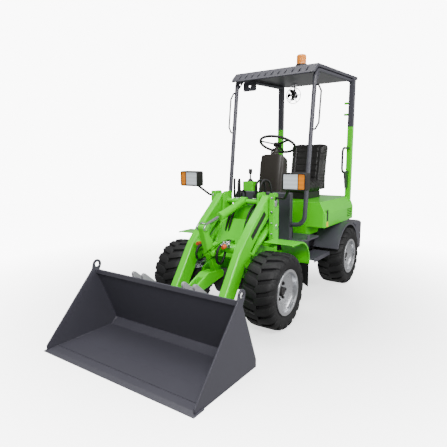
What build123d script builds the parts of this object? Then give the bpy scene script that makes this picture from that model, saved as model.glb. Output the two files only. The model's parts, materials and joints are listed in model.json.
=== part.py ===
"""Small electric articulated wheel loader with a canopy.

Millimetres, +Z up, forward is -Y and the driver's left is +X.  Every piece is drawn with the front
axle at y = 0 and the ground at z = 0, and is then shifted so that the whole machine is centred.
"""
import os
from math import atan2, cos, degrees, hypot, radians, sin, sqrt

from build123d import *

# Stance and wheels
WHEELBASE = 1607
TRACK = 970
TYRE_RADIUS = 330
TYRE_WIDTH = 290
TYRE_SIDES = 24
TREAD_HALF_WIDTH = 112
SIDEWALL_RADIUS = 258
LUG_HEIGHT = 22
LUG_COUNT = 15
LUG_WIDTH = 36
LUG_LENGTH = 150
LUG_SLANT = 24
LUG_CENTRE_X = 62
RIM_SEAT_RADIUS = 186
RIM_FLANGE_RADIUS = 196
RIM_WIDTH = 278
RIM_WALL = 14
RIM_DISC_OFFSET = 56
RIM_DISC_THICKNESS = 12
RIM_DISH_RISE = 30
RIM_HUB_DEPTH = 40
HUB_RADIUS = 70
SPINDLE_RADIUS = 40
WHEEL_BOLTS = 6
WHEEL_BOLT_CIRCLE = 70
WHEEL_BOLT_RADIUS = 9
WHEEL_BOLT_HEIGHT = 12

# Fits, plates and cords
RUNNING_GAP = 0.3
SIDE_GAP = 3
PIN_GAP = 4
MOVING_GAP = 6
PLATE = 20
SHEET = 6
SINK = 5
HOSE_RADIUS = 9
HOSE_BEND = 42

# Axles
AXLE_HOUSING_RADIUS = 58
AXLE_FLANGE_RADIUS = 100
AXLE_FLANGE_WIDTH = 30
DIFF_RADIUS = 118
DIFF_HALF_WIDTH = 60
AXLE_PAD_HALF = 70
AXLE_PAD_OVERHANG = 2

# Centre pivot and steering
PIVOT_PIN_RADIUS = 30
TONGUE_RADIUS = 62
TONGUE_Z = (375, 540)
NECK_HALF_WIDTH = 55
LUG_THICKNESS = 25
LUG_EYE_RADIUS = 75
LUG_ROOT_BACK = 203
LUG_ROOT_HALF_WIDTH = 110
LUG_ROOT_CORNER = 15
STEER_X = 155
STEER_Z = 457
STEER_BASE_AHEAD = 207
STEER_BARREL_RADIUS = 28
STEER_ROD_RADIUS = 14
STEER_EYE_RADIUS = 26
STEER_EYE_HALF_HEIGHT = 24
STEER_NECK = 44
STEER_EAR = 12
STEER_STROKE = 90

# Front frame, plates as x stations
INNER_PLATE_X = (180, 200)
OUTER_PLATE_X = (300, 330)
POST_FLANGE_X = 348
TOWER_TOP_Z = 1130
TOWER_FRONT_Y = 240
TOWER_BACK_Y = 375
TOWER_FOOT_Z = 640
FRAME_FLOOR_Z = 345
FRAME_DECK_Z = 570
AXLE_SADDLE_Z = 395
FRAME_FLOOR_Y = 160
FRAME_DECK_RUN = 85.5

# Sloped plate between the side plates, corners as (y, z)
FRONT_SLOPE = [(34, 540), (214, 880), (232, 870), (52, 530)]

# Loader arms, stations as (y, z) with the arms lowered
ARM_PIVOT = (290, 1040)
BUCKET_PIVOT = (-509, 233)
ARM_CENTRE_X = 255
ARM_WIDTH = 75
ARM_BOSS_RADIUS = 70
ARM_TIP_RADIUS = 55
ARM_PIN_RADIUS = 28
BUCKET_PIN_RADIUS = 22
CROSS_TUBE = (-140, 675)
CROSS_TUBE_RADIUS = 42
LEVER_PIVOT = (-262, 650)
LEVER_TOP = (-360, 872)
LEVER_BOTTOM = (-147, 440)
COUPLER_PIN = (-511, 371)
LIFT_BASE = (335, 820)
LIFT_EYE = (-110, 540)
LEVER_THICKNESS = 56
LEVER_EYE_RADIUS = 28
LEVER_HUB_RADIUS = 46
LEVER_FOOT_RADIUS = 36
LEVER_PIN_RADIUS = 18
LINK_PIN_RADIUS = 16
LINK_WIDTH = 92
LINK_BELLY = 50
LINK_FORK = 150
LINK_RISE = 35
TILT_CLOSING = 186
TILT_BARREL_RADIUS = 36
TILT_ROD_RADIUS = 18
TILT_PIN_RADIUS = 22
YOKE_GAP = 50
YOKE_DEPTH = 62
YOKE_CHEEK = 12
LIFT_BARREL_RADIUS = 31
LIFT_ROD_RADIUS = 17
LIFT_PIN_RADIUS = 18
LIFT_EYE_CLEAR = 115
LIFT_EYE_CHEEK = 15
LIFT_EYE_RISE = 100
TILT_BORE_START = 80

# Bucket and coupler
BUCKET_WIDTH = 1458
BUCKET_LIP_Y = -1401
BUCKET_HEEL_Y = -694
BUCKET_HEEL_RISE = 60
BUCKET_BACK_TOP = (-888, 536)
BUCKET_SHEET = 10
BUCKET_CHEEK = 12
EDGE_OVERHANG = 8
EDGE_DEPTH = 101
EDGE_THICKNESS = 14
EDGE_BEVEL = 40
EYE_CENTRE = (-882, 572)
EYE_RADIUS = 42
EYE_BORE = 20
EYE_ROOT = (-35, -70, 30)
COUPLER_HALF_WIDTH = 340
COUPLER_Z = (75, 430)
COUPLER_DEPTH = 45
COUPLER_LUG = 22
COUPLER_HORN_Z = 545
COUPLER_EYE_RADIUS = 48
COUPLER_TONGUE_RADIUS = 34
COUPLER_TONGUE_Z = (380, 260)

# Rear half, measured from the rear axle where it follows it
SHELL_FRONT_Y = 1050
SHELL_BEHIND_AXLE = 383
WEIGHT_BEHIND_AXLE = 393
TAIL_BEHIND_AXLE = 698
RAIL_X = 190
RAIL_PLATE = 25
RAIL_Z = (400, 620)
NECK_PLATE_BACK = 156
DECK_FRONT_Y = 650
DECK_Z = 640
DECK_HALF_WIDTH = 460
DECK_NOSE_HALF_WIDTH = 400
DECK_NOSE = 110
SHELL_HALF_WIDTH = 520
TUB_HALF_WIDTH = 320
SHELL_SKIRT_Z = 720
SHELL_TOP_Z = 985
SHELL_CHAMFER = (60, 120)
SHELL_CORNER = 28
SHELL_WALL = 8
BATTERY_GAP = 22
LOUVRE_COUNT = 5
LOUVRE_LENGTH = 170
LOUVRE_HEIGHT = 9
LOUVRE_PITCH = 20
LOUVRE_TOP_Z = 850
REAR_GRILLE_COUNT = 7
REAR_GRILLE_PITCH = 26
REAR_GRILLE_HALF_WIDTH = 260
WEIGHT_Z = (320, 660)
WEIGHT_HALF_WIDTH = 560
WEIGHT_CORNER = 90
TAIL_LAMP = (300, 440)
TAIL_LAMP_Z = (560, 620)
TAIL_LAMP_DEPTH = 15
HITCH_BORE = 16
HITCH_FROM_FACE = 60
HITCH_SLOT_HALF_WIDTH = 80
HITCH_SLOT_Z = (420, 500)
HITCH_SLOT_DEPTH = 125
STEP_X = (340, 525)
STEP_FRONT_Y = 790
STEP_Z = 445
STEP_TYRE_GAP = 62
RISER = 12
REAR_FENDER_X = 600
REAR_FENDER_LIP = 26
REAR_FENDER_DROP = 440
REAR_FENDER_TAIL_Z = 560

# Canopy
POST_X = 445
POST_TUBE_RADIUS = 22
POST_BEND = 90
POST_FOOT = (693, 790)
POST_HEAD = (868, 2290)
POST_RISE = 45
GUSSET = 150
GUSSET_BORE = 10
REAR_POST_BEHIND_AXLE = 333
REAR_POST_X = 460
REAR_POST_SIZE = 60
REAR_POST_FOOT_Z = 840
REAR_POST_SPLIT_Z = 1810
ROOF_BEHIND_AXLE = 513
ROOF_FRONT_Y = 770
ROOF_HALF_WIDTH = 472
ROOF_THICKNESS = 32
VISOR_DEPTH = 115
VISOR_DROP = 75
VISOR_SLOTS = 11
VISOR_SLOT_WIDTH = 16
VISOR_SLOT_PITCH = 76
VISOR_SLOT_LENGTH = 60
ROOF_CORNER = 45
HANDLE_RADIUS = 9
HANDLE_REACH = 50
HANDLE_BEND = 18
HANDLE_Z = (1720, 2140)
HANDLE_RAMP = 60
RAIL_TUBE_RADIUS = 13
RAIL_LOOP_Z = (1280, 1560)
RAIL_LOOP_REACH = 220
RAIL_LOOP_BEND = 60
SIDE_PANEL_DROP = 190
SIDE_PANEL = 8
BEACON = (230, 1010)
BEACON_BASE = (58, 30)
BEACON_DOME = (48, 95)
FAN_X = -240
FAN_BEHIND_AXLE = 193
FAN_Z = 2215
FAN_GUARD_RADIUS = 96
FAN_NOSE_RADIUS = 60
FAN_WIRE = 4
FAN_SPOKES = 6
FAN_BLADES = 4
FAN_BLADE_PITCH = 28
FAN_SHAFT_RADIUS = 5
FAN_STEM_RADIUS = 10
FAN_NOSE_DEPTH = 39
FAN_STAY_DEPTH = 48

# Driver's place
DASH_DEPTH = 65
DASH_WALL = 12
DASH_HALF_WIDTH = 310
DASH_TOP_Z = 1105
WHEEL_CENTRE = (965, 1590)
WHEEL_RADIUS = 200
WHEEL_GRIP = 14
WHEEL_RAKE = 25
WHEEL_HUB = (42, 27)
SPOKE_WIDTH = 28
SPOKE_THICKNESS = 8
COLLAR_DROP = 110
COLLAR = (180, 120, 42)
SHAFT_DROP = (130, 22)
COLUMN_SHAFT_RADIUS = 20
CONSOLE_X = (-290, -165)
CONSOLE_Y = (725, 850)
CONSOLE_TOP_Z = 1200
CONSOLE_CORNER = 16
BOOT = (34, 14, 30)
STICK = (9, 90)
KNOB = (20, 56)
PEDAL_X = (165, 240)
PEDAL_SIZE = (60, 12, 110)
PEDAL_Y = 745
SEAT_BEHIND_FACE = 190
SEAT_DEPTH = 460
SEAT_HALF_WIDTH = 240
SEAT_PAN_Z = 1060
SEAT_TOP_Z = 1180
SEAT_BACK_TOP_Z = 1625
SEAT_BACK_LEAN = 90
SEAT_BACK_THICKNESS = 110
SEAT_CORNER = 50

# Front fenders, flaps and lamps
FENDER_X = 625
FENDER_CROWN_Z = 722
FENDER_BEND = 200
FENDER_TAIL_Y = 430
FENDER_NOSE_Y = 60
FENDER_DROP = 35
FENDER_BEAD = 7
FLAP_X = (350, 615)
FLAP_Z = (265, 300)
LAMP_X = (460, 680)
LAMP_Y = (180, 270)
LAMP_Z = (1170, 1320)
LAMP_CORNER = 18
LAMP_LENS_DEPTH = 12
LAMP_BEZEL = 12
FLASHER_WIDTH = 70
LAMP_ARM_RADIUS = 12
LAMP_ARM_OUT = 90

# Hydraulics on the tower and the arms
FITTING_X = (75, 120)
FITTING_RADIUS = 12
FITTING_HEIGHT = 70
BULKHEAD_Y = (340, 356)
BULKHEAD_Z = (840, 1000)
HOSE_ARCH = 60
HOSE_DROP_Y = 440
HOSE_DROP_Z = 880
COUPLER_BLOCK_X = (95, 175)
COUPLER_BLOCK_Y = (-70, 10)
COUPLER_BLOCK_TOP = 75
COUPLER_TIP_ROOT = (-69, 52)
COUPLER_TIP_END = (-120, 40)
COUPLER_TIPS = (115, 155)
COUPLER_TIP_RADIUS = 13

AXLE_Z = TYRE_RADIUS
REAR_Y = WHEELBASE
PIVOT_Y = WHEELBASE / 2
WHEEL_X = TRACK / 2
SHELL_REAR_Y = REAR_Y + SHELL_BEHIND_AXLE
WEIGHT_Y = REAR_Y + WEIGHT_BEHIND_AXLE
TAIL_Y = REAR_Y + TAIL_BEHIND_AXLE
REAR_POST_Y = REAR_Y + REAR_POST_BEHIND_AXLE
STEER_BASE_Y = REAR_Y - STEER_BASE_AHEAD
SHIFT_Y = -(BUCKET_LIP_Y + TAIL_Y) / 2
ARM_X = (ARM_CENTRE_X - ARM_WIDTH / 2, ARM_CENTRE_X + ARM_WIDTH / 2)
PIVOT_Z = sum(TONGUE_Z) / 2

NODES = {}


def box(x, y, z):
    """Solid block between (low, high) pairs."""
    size = [high - low for low, high in (x, y, z)]
    middle = [(high + low) / 2 for low, high in (x, y, z)]
    return Pos(*middle) * Box(*size)


def centred(half):
    """Pair of stations on both sides of the middle."""
    return (-half, half)


def side_plate(points, x):
    """Plate cut to a (y, z) outline and standing between two x stations."""
    outline = make_face(Polyline(*points, close=True))
    return extrude(Plane.YZ.offset(x[0]) * outline, amount=x[1] - x[0])


def rounded_plate(points, x):
    """Plate cut to an outline of (y, z, corner radius) rows and standing between two x stations."""
    outline = make_face(Polyline(*[(y, z) for y, z, _ in points], close=True))
    for y, z, radius in points:
        if radius:
            corner = outline.vertices().sort_by_distance((y, z, 0))[0]
            outline = fillet(corner, radius)
    return extrude(Plane.YZ.offset(x[0]) * outline, amount=x[1] - x[0])


def flat_plate(points, z):
    """Plate cut to an (x, y) outline and lying between two heights."""
    outline = make_face(Polyline(*points, close=True))
    return extrude(Plane.XY.offset(z[0]) * outline, amount=z[1] - z[0])


def strap(circles, x):
    """Plate between x stations whose outline is the tight belt round circles (y, z, radius)."""
    edges = [(Pos(y, z) * Circle(r)).edge() for y, z, r in circles]
    return extrude(Plane.YZ.offset(x[0]) * make_hull(edges), amount=x[1] - x[0])


def cross_pin(centre, radius, x):
    """Round bar along X at a (y, z) station."""
    plane = Plane(origin=(x[0], centre[0], centre[1]), z_dir=(1, 0, 0))
    return extrude(plane * Circle(radius), amount=x[1] - x[0])


def rod(start, end, radius):
    """Round bar between two points in space."""
    run = Vector(*end) - Vector(*start)
    return extrude(Plane(origin=start, z_dir=run) * Circle(radius), amount=run.length)


def bent_tube(points, radius, bend):
    """Round bar along straight runs joined by bends."""
    path = FilletPolyline(*points, radius=bend)
    return sweep(Plane(origin=path @ 0, z_dir=path % 0) * Circle(radius), path=path)


def both_sides(shape):
    """The piece and its mirror image on the driver's right."""
    return [shape, mirror(shape, about=Plane.YZ)]


def node(name, *shapes):
    """Keep the solids of one named piece."""
    solids = [solid for shape in shapes for solid in shape.solids()]
    NODES[name] = solids[0] if len(solids) == 1 else Compound(solids)


def ring(profile, centre):
    """Solid of revolution about an X axis through centre, from (x, radius) points."""
    outline = make_face(Polyline(*profile, close=True))
    return Pos(*centre) * revolve(outline, Axis.X)


def flat_sided_ring(profile, sides):
    """Ring about the X axis with flat facets, from (x, radius) points."""
    def at(x, radius, turn):
        """Point of the profile at one turn."""
        angle = radians(turn * 360 / sides)
        return (x, radius * cos(angle), radius * sin(angle))

    faces = []
    for turn in range(sides):
        for (x0, r0), (x1, r1) in zip(profile, profile[1:] + profile[:1]):
            corners = [at(x0, r0, turn), at(x1, r1, turn), at(x1, r1, turn + 1), at(x0, r0, turn + 1)]
            faces.append(Face(Wire.make_polygon(corners, close=True)))
    return Solid(Shell(faces))


def tyre_solid():
    """Faceted casing with two rows of slanted lugs, axle along X at the origin."""
    half = TYRE_WIDTH / 2
    bead = RIM_WIDTH / 2 - RIM_WALL
    bore = (RIM_SEAT_RADIUS + RUNNING_GAP) / cos(radians(180 / TYRE_SIDES))
    collar = RIM_FLANGE_RADIUS + SIDE_GAP
    casing_radius = TYRE_RADIUS - LUG_HEIGHT
    casing = [(-bead, bore), (-bead, collar), (-half, SIDEWALL_RADIUS), (-TREAD_HALF_WIDTH, casing_radius),
              (TREAD_HALF_WIDTH, casing_radius), (half, SIDEWALL_RADIUS), (bead, collar), (bead, bore)]
    tyre = flat_sided_ring(casing, TYRE_SIDES)
    pitch = 360 / LUG_COUNT
    shoulder = half - (half - TREAD_HALF_WIDTH) / 2
    foot = casing_radius * cos(radians(180 / TYRE_SIDES)) - SINK
    # The far corner of a lug's top lies on the tyre's radius, and one stands on the ground
    tip = LUG_LENGTH / 2 * sin(radians(LUG_SLANT)) + LUG_WIDTH / 2 * cos(radians(LUG_SLANT))
    crest = sqrt(TYRE_RADIUS ** 2 - tip ** 2)
    phase = -degrees(atan2(tip, crest))
    profile = [(-LUG_LENGTH / 2, foot), (shoulder - LUG_CENTRE_X, foot - LUG_HEIGHT),
               (half - LUG_CENTRE_X, foot - LUG_HEIGHT),
               (TREAD_HALF_WIDTH - LUG_CENTRE_X, crest), (-LUG_LENGTH / 2, crest)]
    bar = extrude(Plane.XZ * make_face(Polyline(*profile, close=True)), amount=LUG_WIDTH / 2, both=True)
    bar = Pos(LUG_CENTRE_X, 0, 0) * Rot(0, 0, LUG_SLANT) * bar
    bar &= Box(TYRE_WIDTH, TYRE_WIDTH, 2 * TYRE_RADIUS)
    lugs = []
    for count in range(LUG_COUNT):
        lugs.append(Rot(phase + pitch * count, 0, 0) * bar)
        lugs.append(Rot(phase + pitch * (count + 0.5), 0, 0) * mirror(bar, about=Plane.YZ))
    return tyre + lugs


def rim_solid():
    """Deep dished rim with its bolts, dish towards +X."""
    inside = RIM_SEAT_RADIUS - RIM_WALL
    edge = RIM_WIDTH / 2
    lip = edge - RIM_WALL + RUNNING_GAP
    disc = RIM_DISC_OFFSET
    face = disc + RIM_DISC_THICKNESS
    bore = SPINDLE_RADIUS + RUNNING_GAP
    back = disc - RIM_HUB_DEPTH
    profile = [(-edge, inside), (-edge, RIM_FLANGE_RADIUS), (-lip, RIM_FLANGE_RADIUS),
               (-lip, RIM_SEAT_RADIUS),
               (lip, RIM_SEAT_RADIUS), (lip, RIM_FLANGE_RADIUS), (edge, RIM_FLANGE_RADIUS), (edge, inside),
               (face + RIM_DISH_RISE, inside), (face, HUB_RADIUS + PLATE), (face, bore), (back, bore),
               (back, HUB_RADIUS),
               (disc, HUB_RADIUS), (disc + RIM_DISH_RISE - RIM_WALL, inside)]
    rim = ring(profile, (0, 0, 0))
    for count in range(WHEEL_BOLTS):
        angle = radians(count * 360 / WHEEL_BOLTS)
        station = (WHEEL_BOLT_CIRCLE * cos(angle), WHEEL_BOLT_CIRCLE * sin(angle))
        rim += cross_pin(station, WHEEL_BOLT_RADIUS, (face - SINK, face + WHEEL_BOLT_HEIGHT))
    return rim


def wheels():
    """Tyre and rim of each wheel, with the dish facing outwards."""
    tyre = tyre_solid()
    rim = rim_solid()
    # name, side, axle station
    for name, side, axle_y in (("front_left", 1, 0), ("front_right", -1, 0),
                               ("rear_left", 1, REAR_Y), ("rear_right", -1, REAR_Y)):
        place = Pos(side * WHEEL_X, axle_y, AXLE_Z)
        handed = (tyre, rim) if side > 0 else (mirror(tyre, about=Plane.YZ), mirror(rim, about=Plane.YZ))
        node(f"tyre_{name}", place * handed[0])
        node(f"rim_{name}", place * handed[1])


def axle(name, axle_y, pad_x, pad_top):
    """Drive axle: housing, differential, hub flanges, spindles and the pads under the frame."""
    flange_x = WHEEL_X + RIM_DISC_OFFSET - RIM_HUB_DEPTH - RUNNING_GAP
    spindle_end = WHEEL_X + RIM_DISC_OFFSET + RIM_DISC_THICKNESS + RIM_WALL
    half = [(0, 0), (spindle_end, 0), (spindle_end, SPINDLE_RADIUS), (flange_x, SPINDLE_RADIUS),
            (flange_x, AXLE_FLANGE_RADIUS), (flange_x - AXLE_FLANGE_WIDTH, AXLE_FLANGE_RADIUS),
            (flange_x - AXLE_FLANGE_WIDTH - PLATE, AXLE_HOUSING_RADIUS),
            (2 * DIFF_HALF_WIDTH, AXLE_HOUSING_RADIUS),
            (DIFF_HALF_WIDTH, DIFF_RADIUS - SHEET), (0, DIFF_RADIUS)]
    left = ring(half, (0, axle_y, AXLE_Z))
    body = left + mirror(left, about=Plane.YZ)
    for low, high in (pad_x, (-pad_x[1], -pad_x[0])):
        body += box((low, high), (axle_y - AXLE_PAD_HALF, axle_y + AXLE_PAD_HALF), (AXLE_Z, pad_top))
    node(name, body)


def rear_chassis():
    """Rails, cross plates and the tongue that carries the centre pivot."""
    plate_y = PIVOT_Y + NECK_PLATE_BACK
    rail_x = (RAIL_X, RAIL_X + RAIL_PLATE)
    ledge_z = RAIL_Z[1] - PLATE - SHEET
    rail = box(rail_x, (plate_y, WEIGHT_Y), RAIL_Z)
    rail += box(rail_x, (DECK_FRONT_Y, plate_y + SINK), (ledge_z, RAIL_Z[1]))
    frame = rail + mirror(rail, about=Plane.YZ)
    width = centred(RAIL_X + RAIL_PLATE)
    frame += box(width, (plate_y, plate_y + RAIL_PLATE), (RAIL_Z[0], RAIL_Z[1] - PLATE))
    frame += box(width, (WEIGHT_Y - RAIL_PLATE, WEIGHT_Y), RAIL_Z)
    frame += box(centred(NECK_HALF_WIDTH), (PIVOT_Y, plate_y + SINK),
                 (TONGUE_Z[0] + SINK, TONGUE_Z[1] - SINK))
    frame += Pos(0, PIVOT_Y, PIVOT_Z) * Cylinder(TONGUE_RADIUS, TONGUE_Z[1] - TONGUE_Z[0])
    frame -= Pos(0, PIVOT_Y, PIVOT_Z) * Cylinder(PIVOT_PIN_RADIUS + RUNNING_GAP, TONGUE_Z[1])
    window = STEER_BARREL_RADIUS + STEER_EAR
    frame -= box((STEER_X - window, RAIL_X - SINK), (plate_y - SINK, plate_y + RAIL_PLATE + SINK),
                 (STEER_Z - window, STEER_Z + window))
    for low in (STEER_Z - STEER_EYE_HALF_HEIGHT - STEER_EAR, STEER_Z + STEER_EYE_HALF_HEIGHT):
        frame += box((STEER_X - window + STEER_EAR, RAIL_X + SINK),
                     (STEER_BASE_Y - window + SINK, STEER_BASE_Y + window - SINK), (low, low + STEER_EAR))
    node("rear_chassis", frame)


def steering_cylinder():
    """Barrel in the rear frame and the rod that reaches the ear beside the pivot."""
    base = (STEER_X, STEER_BASE_Y, STEER_Z)

    def at(y):
        """Point on the cylinder's line."""
        return (STEER_X, y, STEER_Z)

    back = STEER_BASE_Y - STEER_NECK
    front = PIVOT_Y + NECK_PLATE_BACK + 2 * RAIL_PLATE
    barrel = rod(at(back), at(front), STEER_BARREL_RADIUS) + rod(base, at(back - SINK), LEVER_PIN_RADIUS)
    barrel += Pos(*base) * Cylinder(STEER_EYE_RADIUS, 2 * STEER_EYE_HALF_HEIGHT)
    barrel -= rod(at(back - RAIL_PLATE), at(front - SINK), STEER_ROD_RADIUS + RUNNING_GAP)
    node("steering_barrel", barrel)
    inner_end = min(front + 2 * STEER_STROKE, back - RAIL_PLATE - STEER_STROKE - SINK)
    shaft = rod(at(inner_end), at(PIVOT_Y + STEER_EYE_RADIUS - SINK), STEER_ROD_RADIUS)
    node("steering_rod", shaft + Pos(*at(PIVOT_Y)) * Cylinder(STEER_EYE_RADIUS, STEER_EYE_RADIUS + PIN_GAP))


def shell_section(inset):
    """Cross-section of the body shell in (x, z), drawn in by a wall."""
    half = SHELL_HALF_WIDTH - inset
    tub = TUB_HALF_WIDTH - inset
    run, drop = SHELL_CHAMFER
    top = SHELL_TOP_Z - inset
    skirt = SHELL_SKIRT_Z + inset
    points = [(half, skirt), (half, SHELL_TOP_Z - drop), (SHELL_HALF_WIDTH - run - inset / 2, top)]
    points = points + [(-x, z) for x, z in reversed(points)]
    return make_face(Polyline(*points, (-tub, skirt), (-tub, RAIL_Z[1]), (tub, RAIL_Z[1]), (tub, skirt),
                              close=True))


def body_shell():
    """Hollow shell over the battery with side louvres and a rear grille."""
    def along(face, start, end):
        """Sweep a section straight from one y station to another."""
        return extrude(Plane(origin=(0, end, 0), x_dir=(1, 0, 0), z_dir=(0, -1, 0)) * face,
                       amount=end - start)

    hull = along(shell_section(0), SHELL_FRONT_Y, SHELL_REAR_Y)
    upright = hull.edges().filter_by(Axis.Z).filter_by(lambda edge: edge.center().Z > SHELL_SKIRT_Z)
    hull = fillet(upright, SHELL_CORNER)
    shell = hull - along(shell_section(SHELL_WALL), SHELL_FRONT_Y + SHELL_WALL, SHELL_REAR_Y - SHELL_WALL)
    louvre_y = (SHELL_REAR_Y - LOUVRE_LENGTH - 2 * SHELL_CORNER, SHELL_REAR_Y - 2 * SHELL_CORNER)
    for count in range(LOUVRE_COUNT):
        top = LOUVRE_TOP_Z - count * LOUVRE_PITCH
        shell -= box(centred(SHELL_HALF_WIDTH + SINK), louvre_y, (top - LOUVRE_HEIGHT, top))
    for count in range(REAR_GRILLE_COUNT):
        top = SHELL_TOP_Z - 2 * REAR_GRILLE_PITCH - count * REAR_GRILLE_PITCH
        shell -= box(centred(REAR_GRILLE_HALF_WIDTH), (SHELL_REAR_Y - 2 * SHELL_WALL, SHELL_REAR_Y + SINK),
                     (top - LOUVRE_HEIGHT, top))
    node("body_shell", shell)
    half = TUB_HALF_WIDTH - SHELL_WALL - BATTERY_GAP
    node("battery_pack", box(centred(half), (SHELL_FRONT_Y + 3 * BATTERY_GAP, SHELL_REAR_Y - 4 * BATTERY_GAP),
                             (RAIL_Z[1], SHELL_TOP_Z - 4 * BATTERY_GAP)))
    return hull


def rear_body():
    """Rear weight with its tow pin bore, tail lamps, deck, steps and rear fenders."""
    face_y = TAIL_Y - TAIL_LAMP_DEPTH
    weight = box(centred(WEIGHT_HALF_WIDTH), (WEIGHT_Y, face_y), WEIGHT_Z)
    weight = fillet(weight.edges().filter_by(Axis.Z).group_by(Axis.Y)[-1], WEIGHT_CORNER)
    weight = chamfer(weight.faces().sort_by(Axis.Z)[-1].edges().group_by(Axis.Y)[-1], PLATE)
    hitch_y = TAIL_Y - HITCH_FROM_FACE
    weight -= box(centred(HITCH_SLOT_HALF_WIDTH), (TAIL_Y - HITCH_SLOT_DEPTH, TAIL_Y), HITCH_SLOT_Z)
    weight -= Pos(0, hitch_y, sum(WEIGHT_Z) / 2) * Cylinder(HITCH_BORE, WEIGHT_Z[1] - WEIGHT_Z[0])
    node("counterweight", weight)
    node("tail_lamps", *both_sides(box(TAIL_LAMP, (face_y, TAIL_Y), TAIL_LAMP_Z)))

    nose_y = DECK_FRONT_Y + DECK_NOSE
    half = [(DECK_HALF_WIDTH, SHELL_FRONT_Y), (DECK_HALF_WIDTH, nose_y), (DECK_NOSE_HALF_WIDTH, DECK_FRONT_Y)]
    deck = flat_plate(half + [(-x, y) for x, y in reversed(half)], (RAIL_Z[1], DECK_Z))
    tab_x = (DECK_HALF_WIDTH - RISER, DECK_HALF_WIDTH)
    for low, high in (tab_x, (-tab_x[1], -tab_x[0])):
        deck += box((low, high), (nose_y, nose_y + 3 * PLATE), (DECK_Z - SINK, DECK_Z + 2 * PLATE))
    node("deck", deck)
    step_end = REAR_Y - TYRE_RADIUS - STEP_TYRE_GAP
    step = box(STEP_X, (STEP_FRONT_Y, step_end), (STEP_Z - PLATE, STEP_Z))
    step += box((STEP_X[0], STEP_X[0] + RISER), (STEP_FRONT_Y, SHELL_FRONT_Y), (STEP_Z - SINK, RAIL_Z[1]))
    step += box((STEP_X[1] - SHEET, STEP_X[1]), (STEP_FRONT_Y, step_end), (STEP_Z - 2 * PLATE, STEP_Z - SINK))
    node("steps", *both_sides(step))

    outer = SHELL_SKIRT_Z - AXLE_Z - SINK
    centre = Pos(REAR_Y, AXLE_Z)
    reach = 2 * TYRE_RADIUS
    keep = make_face(Polyline((REAR_Y - reach, REAR_FENDER_DROP), (REAR_Y - reach, AXLE_Z + reach),
                              (REAR_Y + reach, AXLE_Z + reach), (REAR_Y + reach, REAR_FENDER_TAIL_Z),
                              close=True))
    arch = centre * (Circle(outer) - Circle(outer - SHEET)) & keep
    fender = extrude(Plane.YZ.offset(TUB_HALF_WIDTH) * arch, amount=REAR_FENDER_X - TUB_HALF_WIDTH)
    lip = centre * (Circle(outer) - Circle(outer - REAR_FENDER_LIP)) & keep
    fender += extrude(Plane.YZ.offset(REAR_FENDER_X - SHEET) * lip, amount=SHEET)
    node("rear_fenders", *both_sides(fender))


def roof_under(y):
    """Height of the roof's underside, which rests on the side tubes."""
    rear_face = REAR_POST_Y - REAR_POST_SIZE / 2
    slope = POST_RISE / (rear_face - POST_HEAD[0])
    return POST_HEAD[1] + POST_TUBE_RADIUS + RUNNING_GAP + slope * (y - POST_HEAD[0])


def post_y(z):
    """Y station of the raked front post at a height."""
    return POST_FOOT[0] + (z - POST_FOOT[1]) * (POST_HEAD[0] - POST_FOOT[0]) / (POST_HEAD[1] - POST_FOOT[1])


def posts(hull):
    """Bent front posts with the side tubes, and the two-part rear posts."""
    rear_face = REAR_POST_Y - REAR_POST_SIZE / 2
    tail_z = POST_HEAD[1] + POST_RISE
    points = [(DASH_HALF_WIDTH, *POST_FOOT), (POST_X, *POST_FOOT), (POST_X, *POST_HEAD),
              (POST_X, rear_face + PLATE, tail_z)]
    tube = bent_tube(points, POST_TUBE_RADIUS, POST_BEND)
    tube -= box((0, 2 * POST_X), (rear_face, rear_face + POST_BEND), (tail_z - POST_BEND, tail_z + POST_BEND))
    head_y, head_z = POST_HEAD
    corners = [(post_y(head_z - GUSSET), head_z - GUSSET), (head_y + PLATE, head_z - PLATE),
               (head_y + GUSSET, roof_under(head_y + GUSSET) - POST_TUBE_RADIUS)]
    gusset = side_plate(corners, (POST_X - SHEET / 2, POST_X + SHEET / 2))
    middle = (sum(y for y, _ in corners) / len(corners), sum(z for _, z in corners) / len(corners))
    node("front_posts", *both_sides(tube + gusset - cross_pin(middle, GUSSET_BORE, (0, 2 * POST_X))))
    half = REAR_POST_SIZE / 2
    width = (REAR_POST_X - half, REAR_POST_X + half)
    back = REAR_POST_Y + half
    lower = box(width, (rear_face, back), (REAR_POST_FOOT_Z, REAR_POST_SPLIT_Z))
    node("rear_posts_lower", *both_sides(lower - hull))
    upper = side_plate([(rear_face, REAR_POST_SPLIT_Z), (rear_face, roof_under(rear_face)),
                        (back, roof_under(back)),
                        (back, REAR_POST_SPLIT_Z)], width)
    node("rear_posts_upper", *both_sides(upper))


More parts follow.
